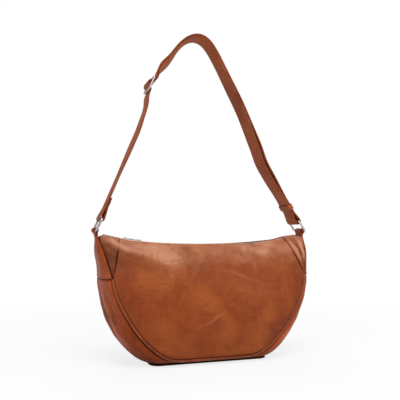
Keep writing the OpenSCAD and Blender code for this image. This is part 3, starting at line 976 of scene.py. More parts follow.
@dataclass(frozen=True)
class BagForm:
    """The smooth form of the body: seams, panels and gusset."""

    corner_z: float = 177
    corner_lift: float = 0.8
    body_half: float = 161.5
    side_half: float = 157
    side_z: float = 124
    floor_half: float = 88
    floor_gap: float = 2.8
    floor_share: float = 0.22
    curve_share: float = 0.68
    seam_top_half: float = 158.5
    seam_side_half: float = 143.5
    seam_side_z: float = 124
    seam_floor_half: float = 58
    seam_floor_z: float = 8
    seam_ease_share: float = 0.045
    eased_share: float = 0.62
    ease_fade_share: float = 0.12
    seam_fullness: float = 1.52
    middle_fullness: float = 1.70
    seam_depth: float = 50
    seam_top_depth: float = 14.5
    taper_z: float = 80
    taper_power: float = 2.5
    rise_powers: tuple[float, float] = (3.0, 1.5)
    lean_powers: tuple[float, float] = (0.8, 1.0)
    gusset_powers: tuple[float, float] = (3, 0.6)
    crown: float = 8
    patch_crown_share: float = 0.12
    edge_z: float = 168
    edge_rise: float = 8
    edge_shares: tuple[float, float] = (0.892, 0.945)
    zip_half: float = 128
    chain_drop: float = 3
    mouth_half: float = 8
    closing: float = 1.7
    leather: float = 2
    seam_gap: float = 0.4
    welt_r: float = 1.5
    end_lift: float = 2.2
    end_ramp: Ramp = Ramp(112, 30)
    patch_share: float = 0.665
    patch_end_share: float = 0.97

    def outline(self, t: Field, flat: float, side: float, top: float, low: float, knee: float,
                high: float, power: float) -> tuple[Field, Field]:
        """Half outline in X and Z: flat floor, rounded corner and straight side.

        Args:
            t: Parameter, from -1 at the left top corner to 1 at the right one.
            flat: Half length of the floor.
            side: Half length at the knee.
            top: Half length at the top.
            low: Height of the floor.
            knee: Height of the knee.
            high: Height of the top.
            power: Fullness of the rounded corner.
        Returns:
            X and Z.
        """
        a = np.abs(t)
        q = np.radians(90) * held((a - self.floor_share) / (self.curve_share - self.floor_share))
        k = held((a - self.curve_share) / (1 - self.curve_share))
        x = np.where(a < self.floor_share, flat * a / self.floor_share,
                     np.where(a < self.curve_share, mix(flat, side, np.sin(q) ** (2 / power)),
                              mix(side, top, k)))
        z = np.where(a < self.curve_share,
                     mix(low, knee, 1 - np.maximum(np.cos(q), 0) ** (2 / power)),
                     mix(knee, high, k))
        return np.sign(t) * x, z

    def seam(self, t: Field) -> Field:
        """The front seam's points at parameters along the half outline."""
        ease = self.seam_ease_share * smooth((self.eased_share - np.abs(t)) / self.ease_fade_share)
        x, z = 0.0, 0.0
        for weight, away in ((1, -2), (4, -1), (6, 0), (4, 1), (1, 2)):
            part = self.outline(t + away * ease, self.seam_floor_half, self.seam_side_half,
                                self.seam_top_half, self.seam_floor_z, self.seam_side_z,
                                self.corner_z, self.seam_fullness)
            x, z = x + part[0] * weight / 16, z + part[1] * weight / 16
        k = held((z - self.taper_z) / (self.corner_z - self.taper_z)) ** self.taper_power
        return np.stack([x, -mix(self.seam_depth, self.seam_top_depth, k), z], -1)

    def middle(self, t: Field) -> tuple[Field, Field]:
        """The gusset's middle line in X and Z."""
        return self.outline(t, self.floor_half, self.side_half, self.body_half, self.floor_gap,
                            self.side_z, self.corner_z + self.corner_lift,
                            self.middle_fullness)

    @property
    def edge_radius(self) -> float:
        """Radius of the arc that the top edge and the zip follow."""
        return (self.zip_half ** 2 + self.edge_rise ** 2) / (2 * self.edge_rise)

    def edge_reach(self, t: Field) -> Field:
        """X of the front panel's top edge."""
        k = held((np.abs(t) - self.patch_share) / (1 - self.patch_share))
        return self.seam(t)[..., 0] * mix(*self.edge_shares, k)

    def top_edge(self, t: Field) -> Field:
        """The front panel's top edge.

        Args:
            t: Parameter along the half outline.
        Returns:
            Points.
        """
        x = self.edge_reach(t)
        end = float(self.edge_reach(np.array(1.0))) - self.zip_half
        k = smooth(held((np.abs(x) - self.zip_half) / end) ** self.closing)
        z = self.edge_z + self.edge_radius - np.sqrt(self.edge_radius ** 2 - x ** 2)
        z += self.end_lift * self.end_ramp.at(np.abs(x))
        return np.stack([x, -mix(self.mouth_half, self.seam_gap / 2, k), z], -1)

    def panel(self, t: Field, w: Field) -> Field:
        """Front side, from the seam at w = 0 to the top edge at w = 1.

        Args:
            t: Parameter along the half outline.
            w: Parameter up the panel.
        Returns:
            Points.
        """
        s, e = self.seam(t), self.top_edge(t)
        k = held(np.abs(t) / self.patch_share) ** 2
        share = (1 - held(w) ** mix(*self.rise_powers, k)) ** mix(*self.lean_powers, k)
        crown = self.crown * mix(1, self.patch_crown_share, k) * 4 * w * (1 - w)
        depth = mix(-e[..., 1], -s[..., 1], share) + crown
        return np.stack([mix(s[..., 0], e[..., 0], w), -depth, mix(s[..., 2], e[..., 2], w)], -1)

    def gusset(self, t: Field, w: Field) -> Field:
        """Gusset, from the front seam at w = -1 to the back seam at w = 1.

        Args:
            t: Parameter along the half outline.
            w: Parameter across the gusset.
        Returns:
            Points.
        """
        s = self.seam(t)
        x, z = self.middle(t)
        rise, lean = self.gusset_powers
        k = (1 - np.minimum(np.abs(w), 1) ** rise) ** lean
        return np.stack([mix(s[..., 0], x, k), -s[..., 1] * w, mix(s[..., 2], z, k)], -1)

    def on_chain(self, x: float, mesh: Mesh) -> Mesh:
        """Takes a mesh drawn about the zip's chain to its place along the chain's arc.

        Args:
            x: Place along the zip.
            mesh: The mesh, drawn about the chain's middle.
        Returns:
            The moved mesh.
        """
        a = math.asin(x / self.edge_radius)
        points = mesh.points
        z = points[:, 2] - self.edge_radius - self.chain_drop
        return Mesh(np.stack([points[:, 0] * math.cos(a) - z * math.sin(a), points[:, 1],
                              points[:, 0] * math.sin(a) + z * math.cos(a)
                              + self.edge_z + self.edge_radius], -1), mesh.faces)


FORM = BagForm()


@dataclass(frozen=True)
class Drape:
    """A cloth run over one side of the body, kept as a field of small moves."""

    form: BagForm = FORM
    rows: int = 46
    columns: int = 17
    top_share: float = 0.999
    beside_share: float = 0.3
    settings: tuple[tuple[str, float], ...] = (
        ("quality", 8), ("mass", 0.0005), ("tension_stiffness", 40),
        ("compression_stiffness", 40), ("shear_stiffness", 12), ("bending_stiffness", 2.5),
        ("air_damping", 4), ("shrink_min", -0.007), ("use_pressure", True),
        ("uniform_pressure_force", 60))
    gravity: float = 0.15
    frames: int = 24
    cap: float = 2.4

    def run(self) -> Field:
        """Runs the cloth from one corner patch to the other.

        Returns:
            Moves out of the side, as (rows, columns), in millimetres.
        """
        limit = self.form.patch_end_share
        skin = Skin(self.form.panel, np.linspace(-limit, limit, self.rows),
                    np.minimum(np.linspace(0.0, 1.0, self.columns), self.top_share))
        data = bpy.data.meshes.new("drape")
        data.from_pydata((skin.points.reshape(-1, 3) * MM).tolist(), [],
                         grid_faces(self.rows, self.columns))
        cloth = bpy.data.objects.new("drape", data)
        bpy.context.scene.collection.objects.link(cloth)
        i, j = np.indices((self.rows, self.columns))
        sewn = (i == 0) | (i == self.rows - 1) | (j == 0) | (j == self.columns - 1)
        beside = ((j == 1) | (j == self.columns - 2)) & ~sewn
        pin = cloth.vertex_groups.new(name="sewn")
        for where, share in ((sewn, 1.0), (beside, self.beside_share)):
            pin.add(np.flatnonzero(where).tolist(), share, "REPLACE")
        run = cloth.modifiers.new("run", "CLOTH").settings
        run.vertex_group_mass = "sewn"
        for name, value in self.settings:
            setattr(run, name, value)
        run.effector_weights.gravity = self.gravity
        for number in range(1, self.frames + 1):
            bpy.context.scene.frame_set(number)
        seen = cloth.evaluated_get(bpy.context.evaluated_depsgraph_get()).data
        moved = np.zeros(len(seen.vertices) * 3)
        seen.vertices.foreach_get("co", moved)
        bpy.context.scene.frame_set(1)
        bpy.data.objects.remove(cloth)
        bpy.data.meshes.remove(data)
        out = ((moved.reshape(skin.points.shape) / MM - skin.points) * skin.normals).sum(-1)
        log.info("drape: %.1f to %.1f mm", out.min(), out.max())
        return self.cap * np.tanh(out / self.cap)

    def at(self, moves: Field, t: Field, w: Field) -> Field:
        """Reads the field of moves at parameters.

        Args:
            moves: What run() gave.
            t: Parameters along.
            w: Parameters up.
        Returns:
            Moves, smoothly between the field's points.
        """
        limit = self.form.patch_end_share
        i = held((t + limit) / (2 * limit)) * (self.rows - 1)
        j = held(w) * (self.columns - 1)
        i0 = np.minimum(i.astype(int), self.rows - 2)
        j0 = np.minimum(j.astype(int), self.columns - 2)
        a, b = smooth(i - i0), smooth(j - j0)
        return mix(mix(moves[i0, j0], moves[i0 + 1, j0], a),
                   mix(moves[i0, j0 + 1], moves[i0 + 1, j0 + 1], a), b)


# What is sewn

@dataclass(frozen=True)
class Sewing:
    """Relief or shade along the edges of a sewn piece: at gusset, inner seam and top."""

    welt: tuple[Rib | Step, ...]
    inner: tuple[Rib | Step, ...]
    top: tuple[Rib | Step, ...] = ()

    def lift(self, welt: Field, inner: Field, top: Field | float = 0.0) -> Field:
        """Its height at distances from the three edges."""
        edges = ((self.welt, welt), (self.inner, inner), (self.top, top))
        return sum(part.lift(far) for parts, far in edges for part in parts)


TOP_RELIEF = (Rib(2.3, 1.3, 0.5), Rib(0, 1.2, -0.9), Rib(4.4, 0.7, -0.35))
TOP_SHADE = (Rib(4.4, 0.6, 0.3),)
PANEL_RELIEF = Sewing((Rib(5.5, 4, 0.9), Rib(0, 1.9, -1.5)),
                      (Rib(4, 1.8, 0.25), Step(-0.5, 2, -2.1)), TOP_RELIEF)
PANEL_SHADE = Sewing((Rib(0, 1.9, 0.68), Rib(3, 5, 0.14)),
                     (Rib(2, 3.5, 0.12), Step(-0.5, 2, 0.5)), TOP_SHADE)
PATCH_RELIEF = Sewing(
    (Rib(3, 2, 0.7), Rib(0, 1, -1)),
    (Rib(2.2, 1.6, 0.6), Rib(0, 0.8, -0.7), Rib(4.9, 0.8, -0.35), Rib(7, 1.6, 0.3)), TOP_RELIEF)
PATCH_SHADE = Sewing((Rib(0, 1.1, 0.68), Rib(3, 5, 0.14)),
                     (Rib(2, 3.5, 0.12), Rib(0, 0.8, 0.4)), TOP_SHADE)
FLOOR_RELIEF = Sewing((Rib(0, 2, -1.3),), (Step(-0.5, 3, -2),))
FLOOR_SHADE = Sewing((Rib(0, 1.8, 0.7),), (Rib(0, 1.8, 0.7),))
UPPER_RELIEF = Sewing((Rib(0, 1.2, -0.9),), (Step(0, 6, 0.5), Rib(0, 0.8, -0.8)))
UPPER_SHADE = Sewing((Rib(0, 1.8, 0.7),), (Rib(0, 0.9, 0.7),))


@dataclass(frozen=True)
class Marks:
    """What folding and use have left on one side: folds, rubbed lines, painted highlights and
    painted shade.
    """

    folds: tuple[Fold, ...]
    wear_and_highlights: tuple[Fold, ...]
    shaded_hollows: tuple[Fold, ...] = ()
    crumple: tuple[Fold, ...] = ()
    dips: tuple[Fold, ...] = ()


@dataclass
class BodySide:
    """One side of the body: its panel, its two corner patches and its stitching."""

    name: str
    moves: Field | None
    back: bool
    seed: float
    marks: Marks
    form: BagForm = FORM
    lap_share: float = 0.012
    end_share: float = 0.995
    top_share: float = 0.9995
    welt_clear: float = 0.6
    edge_clear: float = 0.1
    free_welt: Ramp = Ramp(0, 14)
    free_top: Ramp = Ramp(0, 12)
    fold_welt: Ramp = Ramp(0, 6)
    fold_top: Ramp = Ramp(0, 5)
    waves: tuple[Waves, ...] = (Waves(38, 0.9), Waves(13, 0.4, 9))
    crinkle: Waves = Waves(9, 1.5, 15)
    crinkle_shares: tuple[float, float, float] = (0.8, 1, 1.3)
    deepest: float = 2.6
    worn_edge: Rib = Rib(2.6, 2.2, 0.2)
    # Painted sheen: the top band, which faces up, is painted paler above this height.
    top_light_height: Ramp = Ramp(118, 48)
    pale_waves: Waves = Waves(21, 0.3, 4)
    pale_share: float = 0.6
    pale_base: float = 0.7
    # Share of the painted sheen that painted shade in hollows takes away.
    hollow_share: float = 1.8
    crowd_along: float = 0.2
    crowd_up: float = 0.5
    top_row: float = 4.4
    seam_row: float = 4.9
    panel_trim: float = 3
    patch_trim: float = 4
    panel_steps: int = 260
    patch_steps: int = 76
    steps_up: int = 96

    def skin(self, low: float, high: float, steps: int) -> Skin:
        """A sewn piece of the side between two places on the half outline.

        Args:
            low: Parameter at its left end.
            high: Parameter at its right end.
            steps: Steps between them.
        Returns:
            Its skin, without folds.
        """
        t = mix(low, high, crowded(steps, self.crowd_along))
        sewn = np.abs(t) > self.form.patch_share + self.lap_share
        clear = np.where(sewn, self.edge_clear, self.welt_clear)
        start = clear / np.linalg.norm(self.form.top_edge(t) - self.form.seam(t), axis=-1)
        up = crowded(self.steps_up, self.crowd_up)
        return Skin(self.form.panel, t, mix(start[:, None], self.top_share, up))

    def shape(self, skin: Skin, patch: bool) -> Mesh:
        """Gives a skin its folds and seams, with painted wear, painted highlights and sheen, and
        painted shade.

        Args:
            skin: The smooth skin.
            patch: Whether it is a corner patch.
        Returns:
            The leather's mesh.
        """
        p, marks = skin.points, self.marks
        x, z = p[..., 0], p[..., 2]
        welt, top = skin.far[Side.LOW_W], skin.far[Side.HIGH_W]
        inner = skin.from_seams(self.form.patch_share, not patch)
        free = self.free_welt.at(welt) * self.free_top.at(top)
        lift = free * sum(wave.lift(p, self.seed) for wave in self.waves)
        lift += lifted(marks.folds, x, z) * self.fold_welt.at(welt) * self.fold_top.at(top)
        if self.moves is not None:
            lift += Drape(self.form).at(self.moves, skin.t, skin.w)
        crumple = held(lifted(marks.crumple, x, z))
        lift += crumple * free * self.crinkle.lift(p * np.array(self.crinkle_shares), self.seed)
        lift = np.where(lift < 0, self.deepest * np.tanh(lift / self.deepest), lift)
        relief, shade = (PATCH_RELIEF, PATCH_SHADE) if patch else (PANEL_RELIEF, PANEL_SHADE)
        skin.push(lift + relief.lift(welt, inner, top), lifted(marks.dips, x, z))
        # Painted sheen on the top band, which faces up, varied by waves, with a worn top edge;
        # painted shade in hollows takes the sheen away.
        paleness = self.pale_base + self.pale_waves.lift(p, self.seed)
        pale = self.pale_share * self.top_light_height.at(z) * paleness + self.worn_edge.lift(top)
        for hollow in marks.shaded_hollows:
            pale = pale * (1 - held(self.hollow_share * hollow.lift(x, z)))
        # Pale: painted sheen, worn lines and painted highlights; shade: seams and hollows, painted
        # as shade.
        return skin.shell(self.form.leather, {
            "pale": pale + lifted(marks.wear_and_highlights, x, z), "crumple": crumple,
            "shade": shade.lift(welt, inner, top) + lifted(marks.shaded_hollows, x, z)})

    def build(self) -> None:
        """Builds the side."""
        limit, end = self.form.patch_share, self.end_share
        reach = limit + self.lap_share
        rows = []
        for piece, node, low, high, seam in (
                ("side", "panel", -reach, reach, None),
                ("left_patch", "left_corner", -end, -limit, Side.HIGH_T),
                ("right_patch", "right_corner", limit, end, Side.LOW_T)):
            patch = seam is not None
            skin = self.skin(low, high, self.patch_steps if patch else self.panel_steps)
            self.shape(skin, patch).place(f"{self.name}_{piece}", Finish.BODY, "bag",
                                          f"{self.name}_{node}", back=self.back)
            if patch:
                rows.append(stitches(*skin.line(seam, self.seam_row, self.patch_trim)))
            trim = self.patch_trim if patch else self.panel_trim
            rows.append(stitches(*skin.line(Side.HIGH_W, self.top_row, trim)))
        Mesh.joined(rows).place(f"{self.name}_stitching", Finish.THREAD, "bag", back=self.back)


@dataclass
class Welt:
    """Folded welt between a side and the gusset."""

    name: str
    back: bool
    form: BagForm = FORM
    fullness: float = 0.15
    swell: Waves = Waves(9, 0.07)
    paleness: Waves = Waves(16, 0.4)
    pale_base: float = 0.5
    worn_top: float = 0.75
    worn_fade: float = 0.4
    crest_down: float = 0.6
    crest_out: float = 0.4
    crest_base: float = 0.2
    shade_share: float = 0.55
    shade_base: float = 0.3
    floor: Ramp = Ramp(0, 130)
    front_seed: float = 5
    back_seed: float = 2
    worn_seed: float = 7
    steps: int = 330
    sides: int = 14

    def build(self) -> None:
        """Builds the welt."""
        limit = self.form.patch_share
        c = self.form.seam(np.linspace(-limit, limit, self.steps + 1))
        along = unit(np.gradient(c, axis=0))
        out = unit(np.cross(along, np.array([0.0, 1.0, 0.0])))
        swell = 1 + self.swell.lift(c, self.back_seed if self.back else self.front_seed)
        mesh = tube(rings_about(c, (self.form.welt_r + self.fullness) * swell, out,
                                np.cross(along, out), self.sides))
        q = turns(self.sides)
        crest = held(-np.sin(q) * self.crest_down + self.crest_out * np.cos(q) + self.crest_base)
        paleness = self.pale_base + self.paleness.lift(c, self.worn_seed)
        paleness = paleness * (self.worn_top - self.worn_fade * self.floor.at(c[:, 2]))
        mesh.paint["pale"] = held(paleness[:, None] * crest).ravel()
        shade = self.shade_share * held(self.shade_base - crest)
        mesh.paint["shade"] = np.tile(shade, self.steps + 1)
        mesh.place(f"{self.name}_piping", Finish.WELT, "bag", f"{self.name}_welt", back=self.back)


@dataclass
class Gusset:
    """The strip between the two sides: one long lower piece and two upper ones."""

    form: BagForm = FORM
    rows: int = 300
    columns: int = 72
    upper_rows: int = 72
    lap_share: float = 0.006
    welt_clear: float = 0.4
    edge_clear: float = 0.1
    free: Ramp = Ramp(0, 12)
    stands: Ramp = Ramp(12, 20)
    waves: tuple[Waves, ...] = (Waves(34, 1), Waves(12, 0.45, 3))
    left_sink: Rib = Rib(92, 42, -2)
    corner_puff: Rib = Rib(158, 14, 2.6)
    left_puff_share: float = 0.6
    pale_waves: Waves = Waves(18, 1, 6)
    worn_seam: Rib = Rib(5, 1.8, 0.2)
    # Paler higher up, as painted light from above.
    top_light_height: Ramp = Ramp(30, 60)
    pale_base: float = 0.10
    pale_share: float = 0.12
    # Painted shade, darker toward the floor.
    floor_shade_share: float = 0.75
    floor_shade_base: float = 0.8
    floor_shade_noise: float = 0.2
    # Painted highlights on fold ridges and painted shade in fold hollows.
    fold_share: float = 0.5
    crowd: float = 0.65
    lit_ridges: Ramp = Ramp(0.6, 2)
    shaded_hollows: Ramp = Ramp(0.4, 2)
    floor: Ramp = Ramp(2, 34)
    row: float = 3.4
    row_trim: float = 3
    left_folds: tuple[Fold, ...] = (
        Fold(((31, 116), (29, 98), (26, 80), (14, 60), (0, 43), (-8, 30)), 6.5, 2.4),
        Fold(((43, 110), (42, 82), (31, 58), (14, 38)), 6.0, -3.0),
        Fold(((14, 114), (10, 84), (-4, 58), (-16, 38)), 8.0, -2.4),
        Fold(((-12, 116), (-20, 92), (-27, 64), (-30, 44)), 5.5, 1.8),
        Fold(((-30, 112), (-36, 90), (-38, 64)), 4.0, -1.2),
    )
    right_folds: tuple[Fold, ...] = (
        Fold(((-20, 112), (-17, 88), (-23, 56)), 4.6, 2.2),
        Fold(((10, 116), (14, 86), (8, 50)), 6.0, 2.0),
        Fold(((-6, 106), (-3, 76), (-5, 56)), 4.2, -2.0),
    )

    def skin(self, low: float, high: float, rows: int) -> Skin:
        """A gusset piece between two places on the half outline.

        Args:
            low: Parameter at its left end.
            high: Parameter at its right end.
            rows: Steps between them.
        Returns:
            Its skin.
        """
        t = np.linspace(low, high, rows + 1)
        k = np.linspace(-1, 1, self.columns + 1)
        k = mix(k, np.sin(k * np.pi / 2), self.crowd)
        sewn = np.abs(t) > self.form.patch_share + self.lap_share
        clear = np.where(sewn, self.edge_clear, self.welt_clear)
        return Skin(self.form.gusset, t, k * (1 + clear / self.form.seam(t)[:, 1])[:, None],
                    outward=-1.0)

    def shape(self, skin: Skin, seed: float, upper: bool) -> Mesh:
        """Gives a gusset piece its seams and folds, with paler wear, painted highlights on ridges
        and painted shade.

        Args:
            skin: The smooth skin.
            seed: Shift of its noise.
            upper: Whether it is one of the upper pieces.
        Returns:
            The leather's mesh.
        """
        p = skin.points
        y, z = p[..., 1], p[..., 2]
        left = p[..., 0] < 0
        seam = np.minimum(skin.far[Side.LOW_W], skin.far[Side.HIGH_W])
        cross = skin.from_seams(self.form.patch_share, not upper)
        free = self.free.at(seam)
        folds = np.where(left, lifted(self.left_folds, y, z), lifted(self.right_folds, y, z))
        folded = free * (self.stands.at(z) * sum(wave.lift(p, seed) for wave in self.waves)
                         + folds)
        sunk = np.where(left, self.left_sink.lift(z), 0)
        puffed = np.where(left, self.left_puff_share, 1.0) * self.corner_puff.lift(z)
        relief, shade = (UPPER_RELIEF, UPPER_SHADE) if upper else (FLOOR_RELIEF, FLOOR_SHADE)
        skin.push(folded + free * (sunk + puffed) + relief.lift(seam, cross))
        # Paler higher up and on fold ridges as painted light; painted shade in fold hollows and
        # toward the floor.
        paleness = self.pale_waves.lift(p, seed)
        pale = self.pale_base + self.pale_share * paleness + self.worn_seam.lift(cross)
        floor_shade = self.floor_shade_share * (1 - self.floor.at(z)) * (self.floor_shade_base + self.floor_shade_noise * paleness)
        hollow = self.fold_share * self.shaded_hollows.at(-folded)
        return skin.shell(self.form.leather, {
            "pale": pale * self.top_light_height.at(z) + self.fold_share * self.lit_ridges.at(folded),
            "shade": shade.lift(seam, cross) + hollow + floor_shade})

    def build(self) -> None:
        """Builds the three pieces."""
        limit = self.form.patch_share
        reach = limit + self.lap_share
        rows = []
        for name, node, low, high, steps, seed, side in (
                ("gusset_floor", "lower_gusset", -reach, reach, self.rows, 21.0, None),
                ("gusset_left_top", "left_upper_gusset", -1.0, -limit, self.upper_rows, 31.0,
                 Side.HIGH_T),
                ("gusset_right_top", "right_upper_gusset", limit, 1.0, self.upper_rows, 41.0,
                 Side.LOW_T)):
            skin = self.skin(low, high, steps)
            self.shape(skin, seed, side is not None).place(name, Finish.GUSSET, "bag", node)
            if side is not None:
                rows.append(stitches(*skin.line(side, self.row, self.row_trim)))
        Mesh.joined(rows).place("gusset_stitching", Finish.THREAD, "bag")


@dataclass
class Base:
    """The dark base panel, the linings and the board."""

    form: BagForm = FORM
    length: float = 176
    width: float = 72
    corner: float = 14
    corner_steps: int = 14
    profile: tuple[tuple[float, float, float], ...] = (
        (8, 0, 0.1), (5.2, 0, 0), (4.2, 0.5, 0), (3.2, 0, 0), (1.2, 0.05, 0.3),
        (0.35, 0.35, 0.5), (0, 1.2, 0.3), (0.25, 2, 0.2), (1.2, 2.45, 0), (8, 2.5, 0))
    groove_point: int = 2
    row_steps: int = 24
    stitch_r: float = 0.3
    board_bevel: float = 0.6
    lining_depth: float = 5.2
    lining_thick: float = 0.6
    lining_share: float = 0.93
    side_shares: tuple[float, float] = (0.02, 0.91)
    gusset_shares: tuple[float, float] = (-0.97, 0.97)

    def loop(self, inset: float, z: float, steps: int) -> Field:
        """A rounded rectangle.

        Args:
            inset: Distance inside the panel's edge.
            z: Its height.
            steps: Steps of each corner.
        Returns:
            Its points.
        """
        flat = rounded_loop(self.length / 2 - self.corner, self.width / 2 - self.corner,
                            self.corner - inset, steps)
        return np.column_stack([flat, np.full(len(flat), z)])

    def lining(self, surface: Callable[[Field, Field], Field], shares: tuple[float, float],
               rows: int, columns: int, outward: float) -> Mesh:
        """The cloth under a part of the body.

        Args:
            surface: The part's surface.
            shares: Where the cloth starts and ends across it.
            rows: Points along it.
            columns: Points across it.
            outward: The skin's sense.
        Returns:
            Its mesh.
        """
        skin = Skin(surface, np.linspace(-self.lining_share, self.lining_share, rows),
                    np.linspace(*shares, columns), outward)
        skin.push(-self.lining_depth)
        return skin.shell(self.lining_thick)

    def build(self) -> None:
        """Builds the panel, its stitching, the linings and the board."""
        panel = tube(np.array([self.loop(inset, z, self.corner_steps)
                               for inset, z, _ in self.profile]))
        panel.paint["pale"] = np.repeat([paleness for _, _, paleness in self.profile],
                                        len(panel.points) // len(self.profile))
        panel.place("base_pad", Finish.BASE, "bag", "base_panel")
        line = self.loop(*self.profile[self.groove_point][:2], self.row_steps)
        down = np.tile([0.0, 0.0, -1.0], (len(line), 1))
        stitches(line, down, radius=self.stitch_r).place("base_stitching", Finish.THREAD, "bag")
        side = self.lining(self.form.panel, self.side_shares, 91, 31, 1.0)
        for node, back in (("front_lining", False), ("back_lining", True)):
            side.place(f"{node}_cloth", Finish.LINING, "bag", node, back=back)
        self.lining(self.form.gusset, self.gusset_shares, 101, 25, -1.0).place(
            "gusset_lining_cloth", Finish.LINING, "bag", "gusset_lining")
        low, high = (np.array(corner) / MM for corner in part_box("base_board"))
        Box(high - low, self.board_bevel, (low + high) / 2).mesh().place(
            "floor_board", Finish.BOARD, "bag", "base_board")


@dataclass
class Zip:
    """Tapes, teeth, slider and puller."""

    form: BagForm = FORM
    pitch: float = 4
    tape_end: float = 12
    tape_steps: int = 160
    tape_outer: float = -7.6
    tape_inner: float = -2.4
    tape_point: float = -3
    tape_section: tuple[tuple[float, float], ...] = (
        (-7.6, -0.35), (-7.6, 0.35), (-3.6, 0.35), (-3.2, 0.7), (-2.6, 0.75), (-2.4, 0.0),
        (-2.6, -0.75), (-3.2, -0.7), (-3.6, -0.35))
    tooth: tuple[Box, ...] = (Box((1.7, 2, 2), 0.35), Box((1.2, 2.2, 1.2), 0.25, (0, -1.2, 0)))
    slider_x: float = -119.1
    plate: Box = Box((13, 9, 1.2), 0.5, (0, 0, 2), 3)
    flange: Box = Box((12.4, 1.2, 1.2), 0.3, (0, 3.9, 1.3))
    post: Box = Box((2, 1.8, 4), 0.3, (-5.5, 0, 0))
    bridge_z: float = 2.4
    bridge_half: float = 3.1
    bridge_rise: float = 2.55
    bridge_section: tuple[tuple[float, float], ...] = (
        (-0.55, -0.63), (-0.55, 0.63), (-0.22, 0.9), (0.33, 0.9), (0.55, 0.45), (0.55, -0.45),
        (0.33, -0.9), (-0.22, -0.9))
    puller_z: float = 3.65
    puller_start: float = 5
    puller_end: float = 22
    puller_half: float = 2.6
    puller_middle: float = 14
    puller_edge: tuple[tuple[float, float], ...] = ((0.35, -0.7), (0, -0.4), (0, 0.4), (0.35, 0.7))
    hole_r: float = 1.2
    cheek: Box = Box((5.8, 1.25, 1.4), 0.3, (2.5, 1.95, 0))
    pin_r: float = 0.65
    pin_places: tuple[float, ...] = (-2.5, -1.2, 0, 1.2, 2.5)
    pin_sides: int = 12

    def tape(self) -> Mesh:
        """The front tape, with the thick cord at its inner edge.

        Returns:
            Its mesh.
        """
        half, end = self.form.zip_half, self.tape_end
        across, up = np.array(self.tape_section).T
        share = (across - self.tape_outer) / (self.tape_inner - self.tape_outer)
        rings = []
        for x in np.linspace(-half - end, half + end, self.tape_steps):
            past = held((abs(x) - half) / end)
            inner = self.tape_inner * (1 - smooth(3 * past))
            y = mix(mix(self.tape_outer, self.tape_point, past), inner, share)
            about = Mesh(np.stack([0 * y, y, up], -1), [])
            rings.append(self.form.on_chain(float(x), about).points)
        return tube(np.array(rings))

    def teeth(self, shift: float) -> Mesh:
        """The front row of teeth, moved along the zip.

        Args:
            shift: The move.
        Returns:
            Its mesh.
        """
        half = self.form.zip_half - self.pitch * 1.5
        tooth = Mesh.joined([box.mesh() for box in self.tooth])
        return Mesh.joined([self.form.on_chain(-half + self.pitch * (i + 0.5) + shift, tooth)
                            for i in range(int(2 * half / self.pitch))])

    def slider(self) -> Mesh:
        """The slider's two plates, its flanges, its post and its bridge.

        Returns:
            Its mesh.
        """
        parts = []
        for way in (1, -1):
            parts.append(self.plate.mesh(z_sign=way))
            parts += [self.flange.mesh(y_sign=y, z_sign=way) for y in (-1, 1)]
        arch = []
        for q in np.linspace(0, np.pi, 15):
            x = -self.bridge_half * math.cos(q)
            z = self.bridge_z + self.bridge_rise * math.sin(q) ** 0.6
            arch.append([(x - a * math.cos(q), b, z + a * math.sin(q))
                         for a, b in self.bridge_section])
        return Mesh.joined([*parts, self.post.mesh(), tube(np.array(arch))])

    def puller(self) -> Mesh:
        """The puller: a tongue with a rounded end and a hole, two cheeks and a pin.

        Returns:
            Its mesh.
        """
        q = np.radians(np.arange(-90, 91, 12))
        start, end, half = self.puller_start, self.puller_end, self.puller_half
        outline = np.concatenate([
            np.column_stack([end + half * np.cos(q), half * np.sin(q)]),
            [(start, half), (start, 0.0), (start, -half)]])
        hole = np.concatenate([
            np.column_stack([end + self.hole_r * np.cos(2 * q), self.hole_r * np.sin(2 * q)]),
            [(end - self.hole_r, 0.0)] * 3])
        away = unit(outline - np.array([self.puller_middle, 0.0]))
        loops = [(outline - away * inset, z) for inset, z in self.puller_edge]
        loops = [(hole, loops[0][1]), *loops, (hole, loops[-1][1])]
        rings = np.array([np.column_stack([loop, np.full(len(loop), z)]) for loop, z in loops])
        pin = np.array([(0.0, y, 0.0) for y in self.pin_places])
        mesh = Mesh.joined([
            tube(rings, closed_path=True), self.cheek.mesh(y_sign=-1), self.cheek.mesh(),
            tube(rings_about(pin, np.full(len(pin), self.pin_r), np.array([[1.0, 0.0, 0.0]]),
                             np.array([[0.0, 0.0, 1.0]]), self.pin_sides))])
        mesh.points = mesh.points + np.array([0, 0, self.puller_z])
        return mesh

    def build(self) -> None:
        """Builds the zip."""
        sides = (("front", False, -self.pitch / 4), ("back", True, self.pitch / 4))
        for side, back, _ in sides:
            self.tape().place(f"{side}_zip_tape_cloth", Finish.TAPE, "bag", f"{side}_zip_tape",
                              back=back, smooth_shaded=False)
        for side, back, shift in sides:
            self.teeth(shift).place(f"{side}_zip_teeth_row", Finish.TEETH, "bag",
                                    f"{side}_zip_teeth", back=back)
        for name, body, mesh in (("slider_body", "zip_slider", self.slider()),
                                 ("puller_tongue", "zip_puller", self.puller())):
            self.form.on_chain(self.slider_x, mesh).place(name, Finish.HARDWARE, body, body)


# The strap

